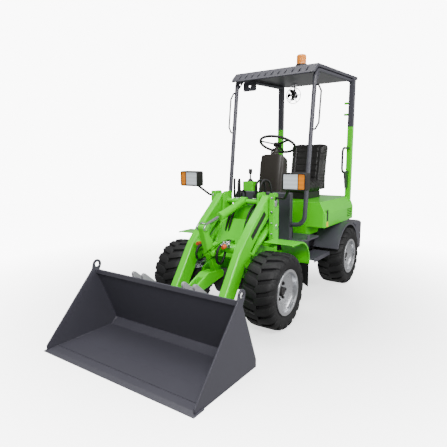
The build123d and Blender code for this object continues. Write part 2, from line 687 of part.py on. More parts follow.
def roof():
    """Roof panel with its slotted visor, and the beacon on top."""
    brow = ROOF_FRONT_Y + VISOR_DEPTH
    rear = REAR_Y + ROOF_BEHIND_AXLE
    drop = roof_under(brow) - VISOR_DROP
    step = ROOF_THICKNESS / 4
    section = [(ROOF_FRONT_Y, drop), (brow, roof_under(brow)), (rear, roof_under(rear)),
               (rear, roof_under(rear) + ROOF_THICKNESS), (brow - step, roof_under(brow) + ROOF_THICKNESS),
               (ROOF_FRONT_Y - step, drop + ROOF_THICKNESS / 3)]
    panel = side_plate(section, centred(ROOF_HALF_WIDTH))
    tall = box(centred(ROOF_HALF_WIDTH), (ROOF_FRONT_Y - step, rear),
               (drop, roof_under(rear) + ROOF_THICKNESS))
    panel &= fillet(tall.edges().filter_by(Axis.Z), ROOF_CORNER)
    first = -(VISOR_SLOTS - 1) / 2 * VISOR_SLOT_PITCH
    slot_y = brow - step - VISOR_SLOT_LENGTH
    for count in range(VISOR_SLOTS):
        middle = first + count * VISOR_SLOT_PITCH
        panel -= box((middle - VISOR_SLOT_WIDTH / 2, middle + VISOR_SLOT_WIDTH / 2),
                     (slot_y - VISOR_SLOT_LENGTH / 2, slot_y + VISOR_SLOT_LENGTH / 2),
                     (drop, roof_under(rear)))
    node("roof_panel", panel)

    beacon_x, beacon_y = BEACON
    base_radius, base_height = BEACON_BASE
    base_top = roof_under(beacon_y) + ROOF_THICKNESS + base_height
    base = Pos(beacon_x, beacon_y, base_top - base_height) * Cylinder(base_radius, 2 * base_height) - panel
    node("beacon_base", base.solids().sort_by(Axis.Z)[-1])
    radius, height = BEACON_DOME
    dome = Pos(beacon_x, beacon_y, base_top + height / 2) * Cylinder(radius, height)
    node("beacon_lens", fillet(dome.edges().sort_by(Axis.Z)[-1], radius / 3))


def handles():
    """Grab handles on the front posts, side rails and the panels under them."""
    touch = POST_X + POST_TUBE_RADIUS + RUNNING_GAP
    low, high = HANDLE_Z
    out = touch + HANDLE_REACH
    handle = bent_tube([(touch, post_y(high), high), (touch + HANDLE_BEND, post_y(high), high),
                        (out, post_y(high - HANDLE_RAMP), high - HANDLE_RAMP),
                        (out, post_y(low + HANDLE_RAMP), low + HANDLE_RAMP),
                        (touch + HANDLE_BEND, post_y(low), low), (touch, post_y(low), low)], HANDLE_RADIUS,
                       HANDLE_RADIUS)
    rear_face = REAR_POST_Y - REAR_POST_SIZE / 2
    bottom, top = RAIL_LOOP_Z
    front = rear_face - RAIL_LOOP_REACH
    rail = bent_tube([(REAR_POST_X, rear_face, top), (REAR_POST_X, front, top), (REAR_POST_X, front, bottom),
                      (REAR_POST_X, rear_face, bottom)], RAIL_TUBE_RADIUS, RAIL_LOOP_BEND)
    panel = side_plate([(front + RAIL_LOOP_BEND, bottom), (rear_face, bottom),
                        (rear_face, bottom - SIDE_PANEL_DROP),
                        (front + 2 * RAIL_LOOP_BEND, bottom - SIDE_PANEL_DROP)],
                       (REAR_POST_X - SIDE_PANEL / 2, REAR_POST_X + SIDE_PANEL / 2))
    node("grab_rails", *both_sides(handle), *both_sides(rail + panel))


def driver_fan():
    """Fan in a wire guard that hangs from the roof, with its turning blades."""
    fan_y = REAR_Y + FAN_BEHIND_AXLE
    motor_radius = FAN_GUARD_RADIUS / 3
    depth = FAN_GUARD_RADIUS / 3 + RUNNING_GAP
    motor_end = fan_y + 3 * depth

    def at(y, radius=0, turn=0):
        """Point round the fan's axis."""
        return (FAN_X + radius * cos(turn), y, FAN_Z + radius * sin(turn))

    body = rod(at(fan_y + depth), at(motor_end), motor_radius)
    middle = (fan_y + depth + motor_end) / 2
    body += rod(at(middle), (FAN_X, middle, roof_under(middle) - SHEET), FAN_STEM_RADIUS)
    foot = [fan_y + depth, motor_end]
    body += side_plate([(foot[0], roof_under(foot[0]) - 2 * SHEET), (foot[0], roof_under(foot[0])),
                        (foot[1], roof_under(foot[1])), (foot[1], roof_under(foot[1]) - 2 * SHEET)],
                       (FAN_X - motor_radius, FAN_X + motor_radius))
    body += rod(at(fan_y - depth / 2), at(fan_y + depth + SINK), FAN_SHAFT_RADIUS)
    nose_y = fan_y - FAN_NOSE_DEPTH
    for y, radius in ((fan_y + depth, FAN_GUARD_RADIUS), (nose_y, FAN_NOSE_RADIUS)):
        body += Plane(origin=at(y), z_dir=(0, 1, 0)) * Torus(radius, FAN_WIRE)
    for count in range(FAN_SPOKES):
        turn = radians(count * 360 / FAN_SPOKES)
        rim_point = at(fan_y + depth, FAN_GUARD_RADIUS, turn)
        body += rod(rim_point, at(nose_y, FAN_NOSE_RADIUS, turn), FAN_WIRE - 1)
        body += rod(rim_point, at(fan_y + FAN_STAY_DEPTH, motor_radius - SHEET, turn), FAN_WIRE - 1)
    node("fan_body", body)
    hub = rod(at(fan_y - depth / 2), at(fan_y + depth / 2), motor_radius / 2)
    length = FAN_GUARD_RADIUS - motor_radius / 2 - 5 * FAN_WIRE
    for count in range(FAN_BLADES):
        blade = Rot(FAN_BLADE_PITCH, 0, 0) * Box(length, FAN_WIRE, FAN_NOSE_DEPTH)
        blade = Pos(motor_radius / 3 + length / 2, 0, 0) * blade
        hub += Pos(*at(fan_y)) * Rot(0, count * 360 / FAN_BLADES, 0) * blade
    node("fan_blades", hub - rod(at(fan_y - depth), at(fan_y + depth), FAN_SHAFT_RADIUS + RUNNING_GAP))


def driver_place():
    """Dash, steering column and wheel, lever console, controls and seat."""
    dash_y = (DECK_FRONT_Y, DECK_FRONT_Y + DASH_DEPTH)
    dash = box(centred(DASH_HALF_WIDTH), dash_y, (DECK_Z, DASH_TOP_Z))
    dash = fillet(dash.edges().filter_by(Axis.X).sort_by(Axis.Z)[-2:], DASH_WALL)
    dash -= box(centred(DASH_HALF_WIDTH - DASH_WALL), (dash_y[0] + DASH_WALL, dash_y[1] + SINK),
                (DECK_Z - SINK, DASH_TOP_Z - DASH_WALL))
    node("dash_panel", dash)

    lean = radians(WHEEL_RAKE)
    up = Vector(0, sin(lean), cos(lean))
    centre = Vector(0, *WHEEL_CENTRE)
    collar = Plane(origin=tuple(centre - up * COLLAR_DROP), x_dir=(1, 0, 0), z_dir=tuple(up))
    # middle y, height, width, depth, corner radius of the cowl's level sections
    rows = [(830, DECK_Z, 290, 170, 50), (850, 1250, 270, 165, 50), (880, 1410, 240, 150, 48)]
    cowl = [Pos(0, y, z) * RectangleRounded(width, depth, corner) for y, z, width, depth, corner in rows]
    column = loft(cowl + [collar * RectangleRounded(*COLLAR)], ruled=True)
    column += rod(tuple(centre - up * SHAFT_DROP[0]), tuple(centre - up * SHAFT_DROP[1]), COLUMN_SHAFT_RADIUS)
    node("steering_column", column)

    place = Plane(origin=tuple(centre), x_dir=(1, 0, 0), z_dir=tuple(up))
    middle = WHEEL_RADIUS - WHEEL_GRIP
    wheel = Torus(middle, WHEEL_GRIP) + Pos(0, 0, -SPOKE_THICKNESS) * Cylinder(*WHEEL_HUB)
    for turn in (90, 210, 330):
        spoke = Pos(middle / 2, 0, -SPOKE_THICKNESS / 2) * Box(middle, SPOKE_WIDTH, SPOKE_THICKNESS)
        wheel += Rot(0, 0, turn) * spoke
    node("steering_wheel", place * wheel)

    console = box(CONSOLE_X, CONSOLE_Y, (DECK_Z, CONSOLE_TOP_Z))
    node("lever_console", fillet(console.edges().filter_by(Axis.Z), CONSOLE_CORNER))
    stick_x, stick_y = sum(CONSOLE_X) / 2, sum(CONSOLE_Y) / 2
    root = CONSOLE_TOP_Z + BOOT[2] / 2
    boot = Pos(stick_x, stick_y, root) * Cone(*BOOT)
    stick = boot + Pos(stick_x, stick_y, root + STICK[1] / 2) * Cylinder(*STICK)
    knob = Pos(stick_x, stick_y, root + STICK[1]) * Cylinder(*KNOB)
    stick += fillet(knob.edges().filter_by(GeomType.CIRCLE), STICK[0])
    width, thick, tall = PEDAL_SIZE
    pedals = [box((low, low + width), (PEDAL_Y, PEDAL_Y + thick), (DECK_Z, DECK_Z + tall)) for low in PEDAL_X]
    node("controls", stick, *pedals)

    front = SHELL_FRONT_Y + SEAT_BEHIND_FACE
    rear = front + SEAT_DEPTH
    node("seat_base", box(centred(SEAT_HALF_WIDTH - 2 * PLATE), (front + 2 * PLATE, rear),
                          (SHELL_TOP_Z, SEAT_PAN_Z)))
    cushion = box(centred(SEAT_HALF_WIDTH), (front, rear - SINK), (SEAT_PAN_Z, SEAT_TOP_Z))
    cushion = fillet(cushion.edges().filter_by(Axis.Z), SEAT_CORNER)
    node("seat_cushion", fillet(cushion.faces().sort_by(Axis.Z)[-1].edges(), SEAT_CORNER / 2))
    back = side_plate([(rear, SEAT_PAN_Z), (rear + SEAT_BACK_THICKNESS, SEAT_PAN_Z),
                       (rear + SEAT_BACK_THICKNESS + SEAT_BACK_LEAN, SEAT_BACK_TOP_Z),
                       (rear + SEAT_BACK_LEAN, SEAT_BACK_TOP_Z)], centred(SEAT_HALF_WIDTH - SINK))
    tops = back.edges().filter_by(Axis.Y, tolerance=1).sort_by(Axis.Z)[-2:]
    node("seat_back", fillet(tops, SEAT_CORNER))


def front_frame():
    """Side plates, tower posts, pivot lugs, pins and the plates between them."""
    back_y = PIVOT_Y - LUG_ROOT_BACK + SINK
    # y, z and corner radius round the side plates
    plate = rounded_plate([(-120, AXLE_SADDLE_Z, 0), (-120, 450, 20), (20, 530, 60), (215, 900, 80),
                           (225, TOWER_TOP_Z, 25), (355, TOWER_TOP_Z, 25), (TOWER_BACK_Y, 1000, 40),
                           (TOWER_BACK_Y, 700, 60), (back_y - FRAME_DECK_RUN, FRAME_DECK_Z, 60),
                           (back_y, FRAME_DECK_Z, 0),
                           (back_y, FRAME_FLOOR_Z, 0), (300, FRAME_FLOOR_Z, 0), (150, AXLE_SADDLE_Z, 0)],
                          INNER_PLATE_X)
    outer = rounded_plate([(TOWER_FRONT_Y, TOWER_FOOT_Z, 0), (TOWER_FRONT_Y, TOWER_TOP_Z, 0),
                           (355, TOWER_TOP_Z, 25),
                           (TOWER_BACK_Y, 1000, 40), (TOWER_BACK_Y, TOWER_FOOT_Z, 0)], OUTER_PLATE_X)
    outer += box((OUTER_PLATE_X[0], POST_FLANGE_X), (TOWER_FRONT_Y, TOWER_FRONT_Y + PLATE),
                 (TOWER_FOOT_Z, TOWER_TOP_Z))
    span = (INNER_PLATE_X[1] - SINK, OUTER_PLATE_X[0] + SINK)
    web = box(span, (TOWER_BACK_Y - PLATE, TOWER_BACK_Y), (TOWER_FOOT_Z, LIFT_BASE[1] - 2 * PLATE))
    shelf = box(span, (TOWER_FRONT_Y + PLATE, TOWER_BACK_Y), (TOWER_FOOT_Z, TOWER_FOOT_Z + PLATE))
    pin_end = OUTER_PLATE_X[1] + PLATE / 2
    pins = cross_pin(ARM_PIVOT, ARM_PIN_RADIUS, (INNER_PLATE_X[0], pin_end))
    pins += cross_pin(LIFT_BASE, LIFT_PIN_RADIUS, (INNER_PLATE_X[0], pin_end))
    side = plate + outer + web + shelf + pins
    frame = side + mirror(side, about=Plane.YZ)
    width = centred(INNER_PLATE_X[1] - SINK)
    frame += cross_pin(ARM_PIVOT, TILT_PIN_RADIUS, width)
    frame += box(width, BULKHEAD_Y, BULKHEAD_Z)
    frame += box(width, (back_y - PLATE, back_y), (FRAME_FLOOR_Z, FRAME_DECK_Z))
    frame += box(width, (FRAME_FLOOR_Y, back_y - SINK), (FRAME_FLOOR_Z, FRAME_FLOOR_Z + PLATE))
    frame += side_plate(FRONT_SLOPE, width)

    low = (TONGUE_Z[0] - SINK - LUG_THICKNESS, TONGUE_Z[0] - SINK)
    high = (TONGUE_Z[1] + SINK, TONGUE_Z[1] + SINK + LUG_THICKNESS)
    root = PIVOT_Y - LUG_ROOT_BACK
    lug = make_hull([(Pos(0, PIVOT_Y) * Circle(LUG_EYE_RADIUS)).edge()]
                    + [(Pos(x, root) * Circle(LUG_ROOT_CORNER)).edge() for x in centred(LUG_ROOT_HALF_WIDTH)])
    for bottom, top in (low, high):
        frame += extrude(Plane.XY.offset(bottom) * lug, amount=top - bottom)
    ear = make_hull([(Pos(STEER_X, PIVOT_Y) * Circle(STEER_EYE_RADIUS + SHEET)).edge(),
                     (Pos(STEER_X, root) * Circle(STEER_BARREL_RADIUS)).edge()])
    gap = STEER_EYE_RADIUS / 2 + SINK
    for bottom in (STEER_Z - gap - STEER_EAR, STEER_Z + gap):
        frame += extrude(Plane.XY.offset(bottom) * ear, amount=STEER_EAR)
    frame += Pos(0, PIVOT_Y, PIVOT_Z) * Cylinder(PIVOT_PIN_RADIUS, high[1] - low[0] + LUG_THICKNESS)
    node("front_chassis", frame)


def front_fenders():
    """Rolled front fenders with a bead along the edge, and the notched flaps behind the wheels."""
    centre = (FENDER_TAIL_Y - FENDER_BEND, FENDER_CROWN_Z - FENDER_BEND)

    def band(depth):
        """Outline of the rolled sheet in (y, z), as deep as asked."""
        tail, end = FENDER_TAIL_Y, centre[1] - FENDER_DROP
        nose, crown = FENDER_NOSE_Y, FENDER_CROWN_Z
        return make_face(Line((nose, crown), (centre[0], crown)) + CenterArc(centre, FENDER_BEND, 0, 90)
                         + Polyline((tail, centre[1]), (tail, end), (tail - depth, end),
                                    (tail - depth, centre[1]))
                         + CenterArc(centre, FENDER_BEND - depth, 0, 90)
                         + Polyline((centre[0], crown - depth), (nose, crown - depth), (nose, crown)))

    fender = extrude(Plane.YZ.offset(POST_FLANGE_X) * band(SHEET), amount=FENDER_X - POST_FLANGE_X)
    fender += extrude(Plane.YZ.offset(FENDER_X - FENDER_BEAD) * band(2 * FENDER_BEAD), amount=FENDER_BEAD)
    foot = box((OUTER_PLATE_X[1], POST_FLANGE_X + SINK), (TOWER_FRONT_Y + PLATE, TOWER_BACK_Y - PLATE),
               (FENDER_CROWN_Z - 2 * PLATE, FENDER_CROWN_Z - SHEET))
    under = Pos(*centre) * Circle(FENDER_BEND - SHEET / 2)
    under += Pos(centre[0] - FENDER_BEND, centre[1]) * Rectangle(2 * FENDER_BEND, 4 * FENDER_BEND)
    foot &= extrude(Plane.YZ.offset(OUTER_PLATE_X[1]) * under, amount=PLATE + SINK)
    node("front_fenders", *both_sides(fender + foot))
    top = centre[1] - SINK
    low, high = FLAP_Z
    left, right = FLAP_X
    quarter = (right - left) / 4
    points = [(left, top), (right, top), (right, low), (right - quarter, high), (left + 2 * quarter, low),
              (left + quarter, high), (left, low)]
    flap = Plane(origin=(0, FENDER_TAIL_Y + SHEET, 0), x_dir=(1, 0, 0), z_dir=(0, -1, 0)) * make_face(
        Polyline(*points, close=True))
    node("mud_flaps", *both_sides(extrude(flap, amount=SHEET)))


def lamps():
    """Work lamps on arms beside the tower, each with a clear lens and an amber flasher."""
    housing = box(LAMP_X, LAMP_Y, LAMP_Z)
    housing = fillet(housing.edges().filter_by(Axis.Y), LAMP_CORNER)
    housing = fillet(housing.faces().sort_by(Axis.Y)[-1].edges(), LAMP_CORNER)
    arm_y, arm_z = ARM_PIVOT[0] + PLATE, TOWER_TOP_Z - 2 * PLATE - SINK
    arm = bent_tube([(OUTER_PLATE_X[1], arm_y, arm_z), (OUTER_PLATE_X[1] + LAMP_ARM_OUT, arm_y, arm_z),
                     (LAMP_X[0] + 2 * PLATE, sum(LAMP_Y) / 2, LAMP_Z[0] + SINK)], LAMP_ARM_RADIUS,
                    2 * LAMP_ARM_RADIUS)
    node("lamp_housings", *both_sides(housing + arm))
    split = LAMP_X[1] - FLASHER_WIDTH
    depth = (LAMP_Y[0] - LAMP_LENS_DEPTH, LAMP_Y[0])
    height = (LAMP_Z[0] + LAMP_BEZEL, LAMP_Z[1] - LAMP_BEZEL)
    node("lamp_lenses", *both_sides(box((LAMP_X[0] + LAMP_BEZEL, split - SIDE_GAP), depth, height)))
    node("indicator_lenses", *both_sides(box((split, LAMP_X[1] - LAMP_BEZEL), depth, height)))


def tower_hydraulics():
    """Fittings on the tower's bulkhead and the hoses that arch back from them."""
    y = sum(BULKHEAD_Y) / 2
    top = BULKHEAD_Z[1] + FITTING_HEIGHT
    fittings = []
    hoses = []
    for x in FITTING_X:
        fitting = Pos(x, y, BULKHEAD_Z[1] + FITTING_HEIGHT / 2) * Cylinder(FITTING_RADIUS, FITTING_HEIGHT)
        nut = extrude(Plane.XY.offset(BULKHEAD_Z[1]) * (Pos(x, y) * RegularPolygon(1.5 * FITTING_RADIUS,
                                                                                   6)), amount=PLATE)
        fittings.append(fitting + nut)
        hoses.append(bent_tube([(x, y, top), (x, y, top + HOSE_ARCH), (x, HOSE_DROP_Y, top + HOSE_ARCH),
                                (x, HOSE_DROP_Y, HOSE_DROP_Z)], HOSE_RADIUS, HOSE_BEND))
    node("hydraulic_fittings", *[part for fitting in fittings for part in both_sides(fitting)])
    node("tower_hoses", *[part for hose in hoses for part in both_sides(hose)])


def arms():
    """Loader arms with their cross tube, pins and lugs, and the couplers on the cross tube."""
    tip_y, tip_z = BUCKET_PIVOT
    # y, z and corner radius round the arm's outline
    outline = [(262, 1118, 20), (-26, 880, 150), (-216, 692, 260), (-365, 470, 300), (-462, 330, 60),
               (tip_y, tip_z + ARM_TIP_RADIUS, 0), (tip_y, tip_z - ARM_TIP_RADIUS, 0), (-400, 190, 60),
               (-300, 310, 90),
               (-184, 470, 120), (-137, 575, 90), (113, 793, 150), (352, 985, 20)]
    beam = rounded_plate(outline, ARM_X)
    beam += strap([(*ARM_PIVOT, ARM_BOSS_RADIUS)], ARM_X) + strap([(*BUCKET_PIVOT, ARM_TIP_RADIUS)], ARM_X)
    cheek = LIFT_EYE_CHEEK
    for low, high in ((ARM_X[0], ARM_X[0] + cheek), (ARM_X[1] - cheek, ARM_X[1])):
        beam += strap([(*LIFT_EYE, 2 * cheek), (LIFT_EYE[0], LIFT_EYE[1] + LIFT_EYE_RISE, 4 * cheek)],
                      (low, high))
    through = (ARM_X[0] - SINK, ARM_X[1] + SINK)
    beam -= cross_pin(ARM_PIVOT, ARM_PIN_RADIUS + RUNNING_GAP, through)
    beam -= cross_pin(BUCKET_PIVOT, BUCKET_PIN_RADIUS + RUNNING_GAP, through)
    body = beam + mirror(beam, about=Plane.YZ)
    body += cross_pin(CROSS_TUBE, CROSS_TUBE_RADIUS, centred(ARM_X[0] + SINK))
    half = LEVER_THICKNESS / 2 + SIDE_GAP
    for low, high in ((half, half + PLATE), (-half - PLATE, -half)):
        body += strap([(*CROSS_TUBE, CROSS_TUBE_RADIUS), (*LEVER_PIVOT, 2 * PLATE)], (low, high))
    body += cross_pin(LEVER_PIVOT, LEVER_PIN_RADIUS, centred(half + PLATE + SINK))
    node("lift_arm", body)

    tube_y, tube_z = CROSS_TUBE
    block = box(COUPLER_BLOCK_X, (tube_y + COUPLER_BLOCK_Y[0], tube_y + COUPLER_BLOCK_Y[1]),
                (tube_z + PLATE, tube_z + COUPLER_BLOCK_TOP))
    block -= cross_pin(CROSS_TUBE, CROSS_TUBE_RADIUS, (0, 2 * COUPLER_BLOCK_X[1]))
    for x in COUPLER_TIPS:
        root = (x, tube_y + COUPLER_TIP_ROOT[0], tube_z + COUPLER_TIP_ROOT[1])
        tip = (x, tube_y + COUPLER_TIP_END[0], tube_z + COUPLER_TIP_END[1])
        block += rod(root, tip, COUPLER_TIP_RADIUS)
    node("auxiliary_couplers", block)


def along_line(base, eye, x):
    """Distance between two (y, z) pins and a function that gives points on the line at x."""
    run = hypot(eye[0] - base[0], eye[1] - base[1])

    def at(distance):
        """Point at a distance from the base pin."""
        share = distance / run
        return (x, base[0] + (eye[0] - base[0]) * share, base[1] + (eye[1] - base[1]) * share)

    return run, at


def tilt_linkage():
    """Lever, leaf-shaped link and the tilt cylinder."""
    half = LEVER_THICKNESS / 2
    through = centred(half + SINK)
    lever = strap([(*LEVER_TOP, LEVER_EYE_RADIUS), (*LEVER_PIVOT, LEVER_HUB_RADIUS)], centred(half))
    lever += strap([(*LEVER_PIVOT, LEVER_HUB_RADIUS), (*LEVER_BOTTOM, LEVER_FOOT_RADIUS)], centred(half))
    lever -= cross_pin(LEVER_PIVOT, LEVER_PIN_RADIUS + RUNNING_GAP, through)
    lever -= cross_pin(LEVER_BOTTOM, LINK_PIN_RADIUS + RUNNING_GAP, through)
    node("tilt_lever", lever)

    wide = LINK_WIDTH / 2
    belly = ((LEVER_BOTTOM[0] + COUPLER_PIN[0]) / 2, (LEVER_BOTTOM[1] + COUPLER_PIN[1]) / 2 + LINK_RISE)
    link = strap([(*LEVER_BOTTOM, LEVER_FOOT_RADIUS), (*belly, LINK_BELLY),
                  (*COUPLER_PIN, LEVER_FOOT_RADIUS)],
                 centred(wide))
    slot = half + SIDE_GAP
    tall = (COUPLER_PIN[1] - 2 * LINK_BELLY, LEVER_BOTTOM[1] + 3 * LINK_BELLY)
    link -= box(centred(slot), (LEVER_BOTTOM[0] - LINK_FORK, LEVER_BOTTOM[0] + LINK_BELLY), tall)
    link -= box(centred(slot), (COUPLER_PIN[0] - LINK_BELLY, COUPLER_PIN[0] + LINK_FORK - 2 * PLATE), tall)
    link += cross_pin(LEVER_BOTTOM, LINK_PIN_RADIUS, centred(wide))
    node("tilt_link", link)

    run, at = along_line(ARM_PIVOT, LEVER_TOP, 0)
    barrel_end = run - TILT_CLOSING - YOKE_DEPTH - MOVING_GAP
    barrel = rod(at(PLATE), at(barrel_end), TILT_BARREL_RADIUS)
    barrel += rod(at(barrel_end - 2 * PLATE), at(barrel_end), TILT_BARREL_RADIUS + SIDE_GAP)
    barrel += cross_pin(ARM_PIVOT, 2 * PLATE, centred(1.5 * PLATE))
    barrel -= cross_pin(ARM_PIVOT, TILT_PIN_RADIUS + RUNNING_GAP, centred(3 * PLATE))
    barrel -= rod(at(TILT_BORE_START), at(barrel_end + SINK), TILT_ROD_RADIUS + RUNNING_GAP)
    node("tilt_barrel", barrel)
    shaft = rod(at(TILT_BORE_START + TILT_CLOSING + MOVING_GAP), at(run - YOKE_GAP), TILT_ROD_RADIUS)
    back = Plane(origin=at(run - YOKE_DEPTH), x_dir=(1, 0, 0), z_dir=Vector(*at(run)) - Vector(*at(0)))
    cheek = (half + SIDE_GAP, half + SIDE_GAP + YOKE_CHEEK)
    yoke = extrude(back * Rectangle(2 * cheek[1], 2 * TILT_ROD_RADIUS), amount=YOKE_DEPTH - YOKE_GAP)
    eye_radius = LEVER_EYE_RADIUS - RUNNING_GAP
    for low, high in (cheek, (-cheek[1], -cheek[0])):
        side = Pos((low + high) / 2, 0) * Rectangle(high - low, 2 * eye_radius)
        yoke += extrude(back * side, amount=YOKE_DEPTH) + cross_pin(LEVER_TOP, eye_radius, (low, high))
    node("tilt_rod", shaft + yoke)


def lift_cylinders():
    """Barrels pinned in the tower and rods that push the arms up."""
    run, at = along_line(LIFT_BASE, LIFT_EYE, ARM_CENTRE_X)
    barrel_end = run - LIFT_EYE_CLEAR
    boss = (ARM_CENTRE_X - LIFT_BARREL_RADIUS + SIDE_GAP, ARM_CENTRE_X + LIFT_BARREL_RADIUS - SIDE_GAP)
    barrel = rod(at(PLATE), at(barrel_end), LIFT_BARREL_RADIUS) + cross_pin(LIFT_BASE,
                                                                            LIFT_BARREL_RADIUS - 1, boss)
    barrel -= cross_pin(LIFT_BASE, LIFT_PIN_RADIUS + RUNNING_GAP, (boss[0] - PLATE, boss[1] + PLATE))
    barrel -= rod(at(3.5 * PLATE), at(barrel_end + SINK), LIFT_ROD_RADIUS + RUNNING_GAP)
    node("lift_barrels", *both_sides(barrel))
    eye = cross_pin(LIFT_EYE, LIFT_PIN_RADIUS + 10, (ARM_CENTRE_X - LIFT_ROD_RADIUS,
                                                     ARM_CENTRE_X + LIFT_ROD_RADIUS))
    node("lift_rods", *both_sides(rod(at(5 * PLATE), at(run - PLATE / 2), LIFT_ROD_RADIUS) + eye))


def bucket_back_y(z):
    """Y station of the bucket's back face at a height above its heel."""
    top_y, top_z = BUCKET_BACK_TOP
    return BUCKET_HEEL_Y + (top_y - BUCKET_HEEL_Y) * (z - BUCKET_HEEL_RISE) / (top_z - BUCKET_HEEL_RISE)


def bucket():
    """Bucket with sloped cheeks and lifting eyes, and its bevelled cutting edge."""
    top_y, top_z = BUCKET_BACK_TOP
    thick = BUCKET_SHEET
    half = BUCKET_WIDTH / 2 - EDGE_OVERHANG
    floor_front = BUCKET_LIP_Y + EDGE_DEPTH
    inner_heel = BUCKET_HEEL_Y - thick
    shell = side_plate([(floor_front, 0), (BUCKET_HEEL_Y, 0), (BUCKET_HEEL_Y, BUCKET_HEEL_RISE),
                        (top_y, top_z),
                        (top_y - thick, top_z - SIDE_GAP), (inner_heel, BUCKET_HEEL_RISE - SIDE_GAP),
                        (inner_heel - BUCKET_HEEL_RISE, thick), (floor_front, thick)], centred(half))
    nose = floor_front - EDGE_DEPTH + PLATE
    cheek = make_face(Polyline((floor_front, 0), (BUCKET_HEEL_Y, 0), (BUCKET_HEEL_Y, BUCKET_HEEL_RISE),
                               (top_y, top_z),
                               (top_y - 3 * thick, top_z + 2 * thick), (nose, 3 * EDGE_THICKNESS),
                               (nose, EDGE_THICKNESS), (floor_front, EDGE_THICKNESS), close=True))
    cheek += make_hull([(Pos(*EYE_CENTRE) * Circle(EYE_RADIUS)).edge(),
                        (Pos(top_y + EYE_ROOT[0], top_z + EYE_ROOT[1]) * Circle(EYE_ROOT[2])).edge()])
    cheek -= Pos(*EYE_CENTRE) * Circle(EYE_BORE)
    plate = extrude(Plane.YZ.offset(half - BUCKET_CHEEK) * cheek, amount=BUCKET_CHEEK)
    body = shell + plate + mirror(plate, about=Plane.YZ)
    lip_bar = side_plate([(top_y, top_z), (top_y + PLATE, top_z - PLATE), (top_y - thick, top_z - 2 * PLATE),
                          (top_y - thick, top_z - SIDE_GAP)], centred(half - SINK))
    body += lip_bar
    node("bucket", body)
    edge = side_plate([(BUCKET_LIP_Y, 0), (floor_front, 0), (floor_front, EDGE_THICKNESS),
                       (BUCKET_LIP_Y + EDGE_BEVEL, EDGE_THICKNESS), (BUCKET_LIP_Y, EDGE_THICKNESS / 3)],
                      centred(BUCKET_WIDTH / 2))
    node("cutting_edge", edge)


def quick_coupler():
    """Coupler plate behind the bucket with the lugs and horns for the arms and the tongue for the link."""
    low, high = COUPLER_Z
    back = bucket_back_y
    body = side_plate([(back(low), low), (back(high), high), (back(high) + COUPLER_DEPTH, high),
                       (back(low) + COUPLER_DEPTH, low)], centred(COUPLER_HALF_WIDTH))
    root = back(BUCKET_PIVOT[1]) + COUPLER_DEPTH - RISER
    reach = PIN_GAP + COUPLER_LUG
    side = cross_pin(BUCKET_PIVOT, BUCKET_PIN_RADIUS, (ARM_X[0] - reach, ARM_X[1] + reach))
    # y, z and radius of the circles that each lug's belt runs round
    belt = [(*BUCKET_PIVOT, COUPLER_EYE_RADIUS), (root + 30, 120, 40), (root - 10, 330, 30),
            (back(COUPLER_HORN_Z) + COUPLER_DEPTH, COUPLER_HORN_Z, PLATE)]
    for near in (ARM_X[0] - PIN_GAP - COUPLER_LUG, ARM_X[1] + PIN_GAP):
        side += strap(belt, (near, near + COUPLER_LUG))
    body += side + mirror(side, about=Plane.YZ)
    tongue = LEVER_THICKNESS / 2 - PIN_GAP
    roots = [(back(z) + 2 * PLATE, z, COUPLER_TONGUE_RADIUS) for z in COUPLER_TONGUE_Z]
    body += strap([(*COUPLER_PIN, COUPLER_TONGUE_RADIUS)] + roots, centred(tongue))
    far = 2 * COUPLER_HORN_Z
    body -= side_plate([(back(-far), -far), (back(far), far), (back(far) - far, far),
                        (back(-far) - far, -far)],
                       centred(far))
    node("quick_coupler", body)


def build():
    """Make every piece and write one file for each."""
    wheels()
    axle("front_axle", 0, (INNER_PLATE_X[0] - AXLE_PAD_OVERHANG, INNER_PLATE_X[1] + AXLE_PAD_OVERHANG),
         AXLE_SADDLE_Z)
    axle("rear_axle", REAR_Y, (RAIL_X, RAIL_X + RAIL_PLATE), RAIL_Z[0])
    rear_chassis()
    steering_cylinder()
    hull = body_shell()
    rear_body()
    posts(hull)
    roof()
    handles()
    driver_fan()
    driver_place()
    front_frame()
    front_fenders()
    lamps()
    tower_hydraulics()
    arms()
    tilt_linkage()
    lift_cylinders()
    bucket()
    quick_coupler()
    os.makedirs("parts", exist_ok=True)
    for name, shape in NODES.items():
        export_step(Pos(0, SHIFT_Y, 0) * shape, f"parts/{name}.step")


build()
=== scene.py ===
"""Looks of a small electric articulated wheel loader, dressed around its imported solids."""

import json
import logging
from dataclasses import dataclass, field
from enum import Enum, StrEnum
from math import cos, exp, pi, radians, sin, tan
from typing import Any, ClassVar, Sequence

import bmesh
import bpy
from mathutils import Matrix, Vector
from mathutils.bvhtree import BVHTree


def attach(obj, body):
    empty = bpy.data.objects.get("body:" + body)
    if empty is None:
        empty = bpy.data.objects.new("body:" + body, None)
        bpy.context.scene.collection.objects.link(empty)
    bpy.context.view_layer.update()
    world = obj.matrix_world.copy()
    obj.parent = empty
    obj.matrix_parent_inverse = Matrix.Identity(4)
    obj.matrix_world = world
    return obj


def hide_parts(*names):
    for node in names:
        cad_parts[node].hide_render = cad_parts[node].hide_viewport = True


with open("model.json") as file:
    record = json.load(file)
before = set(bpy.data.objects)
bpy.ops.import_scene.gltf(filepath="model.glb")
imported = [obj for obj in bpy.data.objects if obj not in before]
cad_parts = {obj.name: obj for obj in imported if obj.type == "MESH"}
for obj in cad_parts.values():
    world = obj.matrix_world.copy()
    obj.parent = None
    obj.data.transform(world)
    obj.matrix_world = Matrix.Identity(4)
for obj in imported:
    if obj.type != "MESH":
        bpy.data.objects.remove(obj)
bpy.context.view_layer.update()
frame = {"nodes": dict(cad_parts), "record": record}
LOG = logging.getLogger("loader")

Point = tuple[float, float, float]
Colour = tuple[float, float, float]
Mesh = bmesh.types.BMesh
Vert = bmesh.types.BMVert

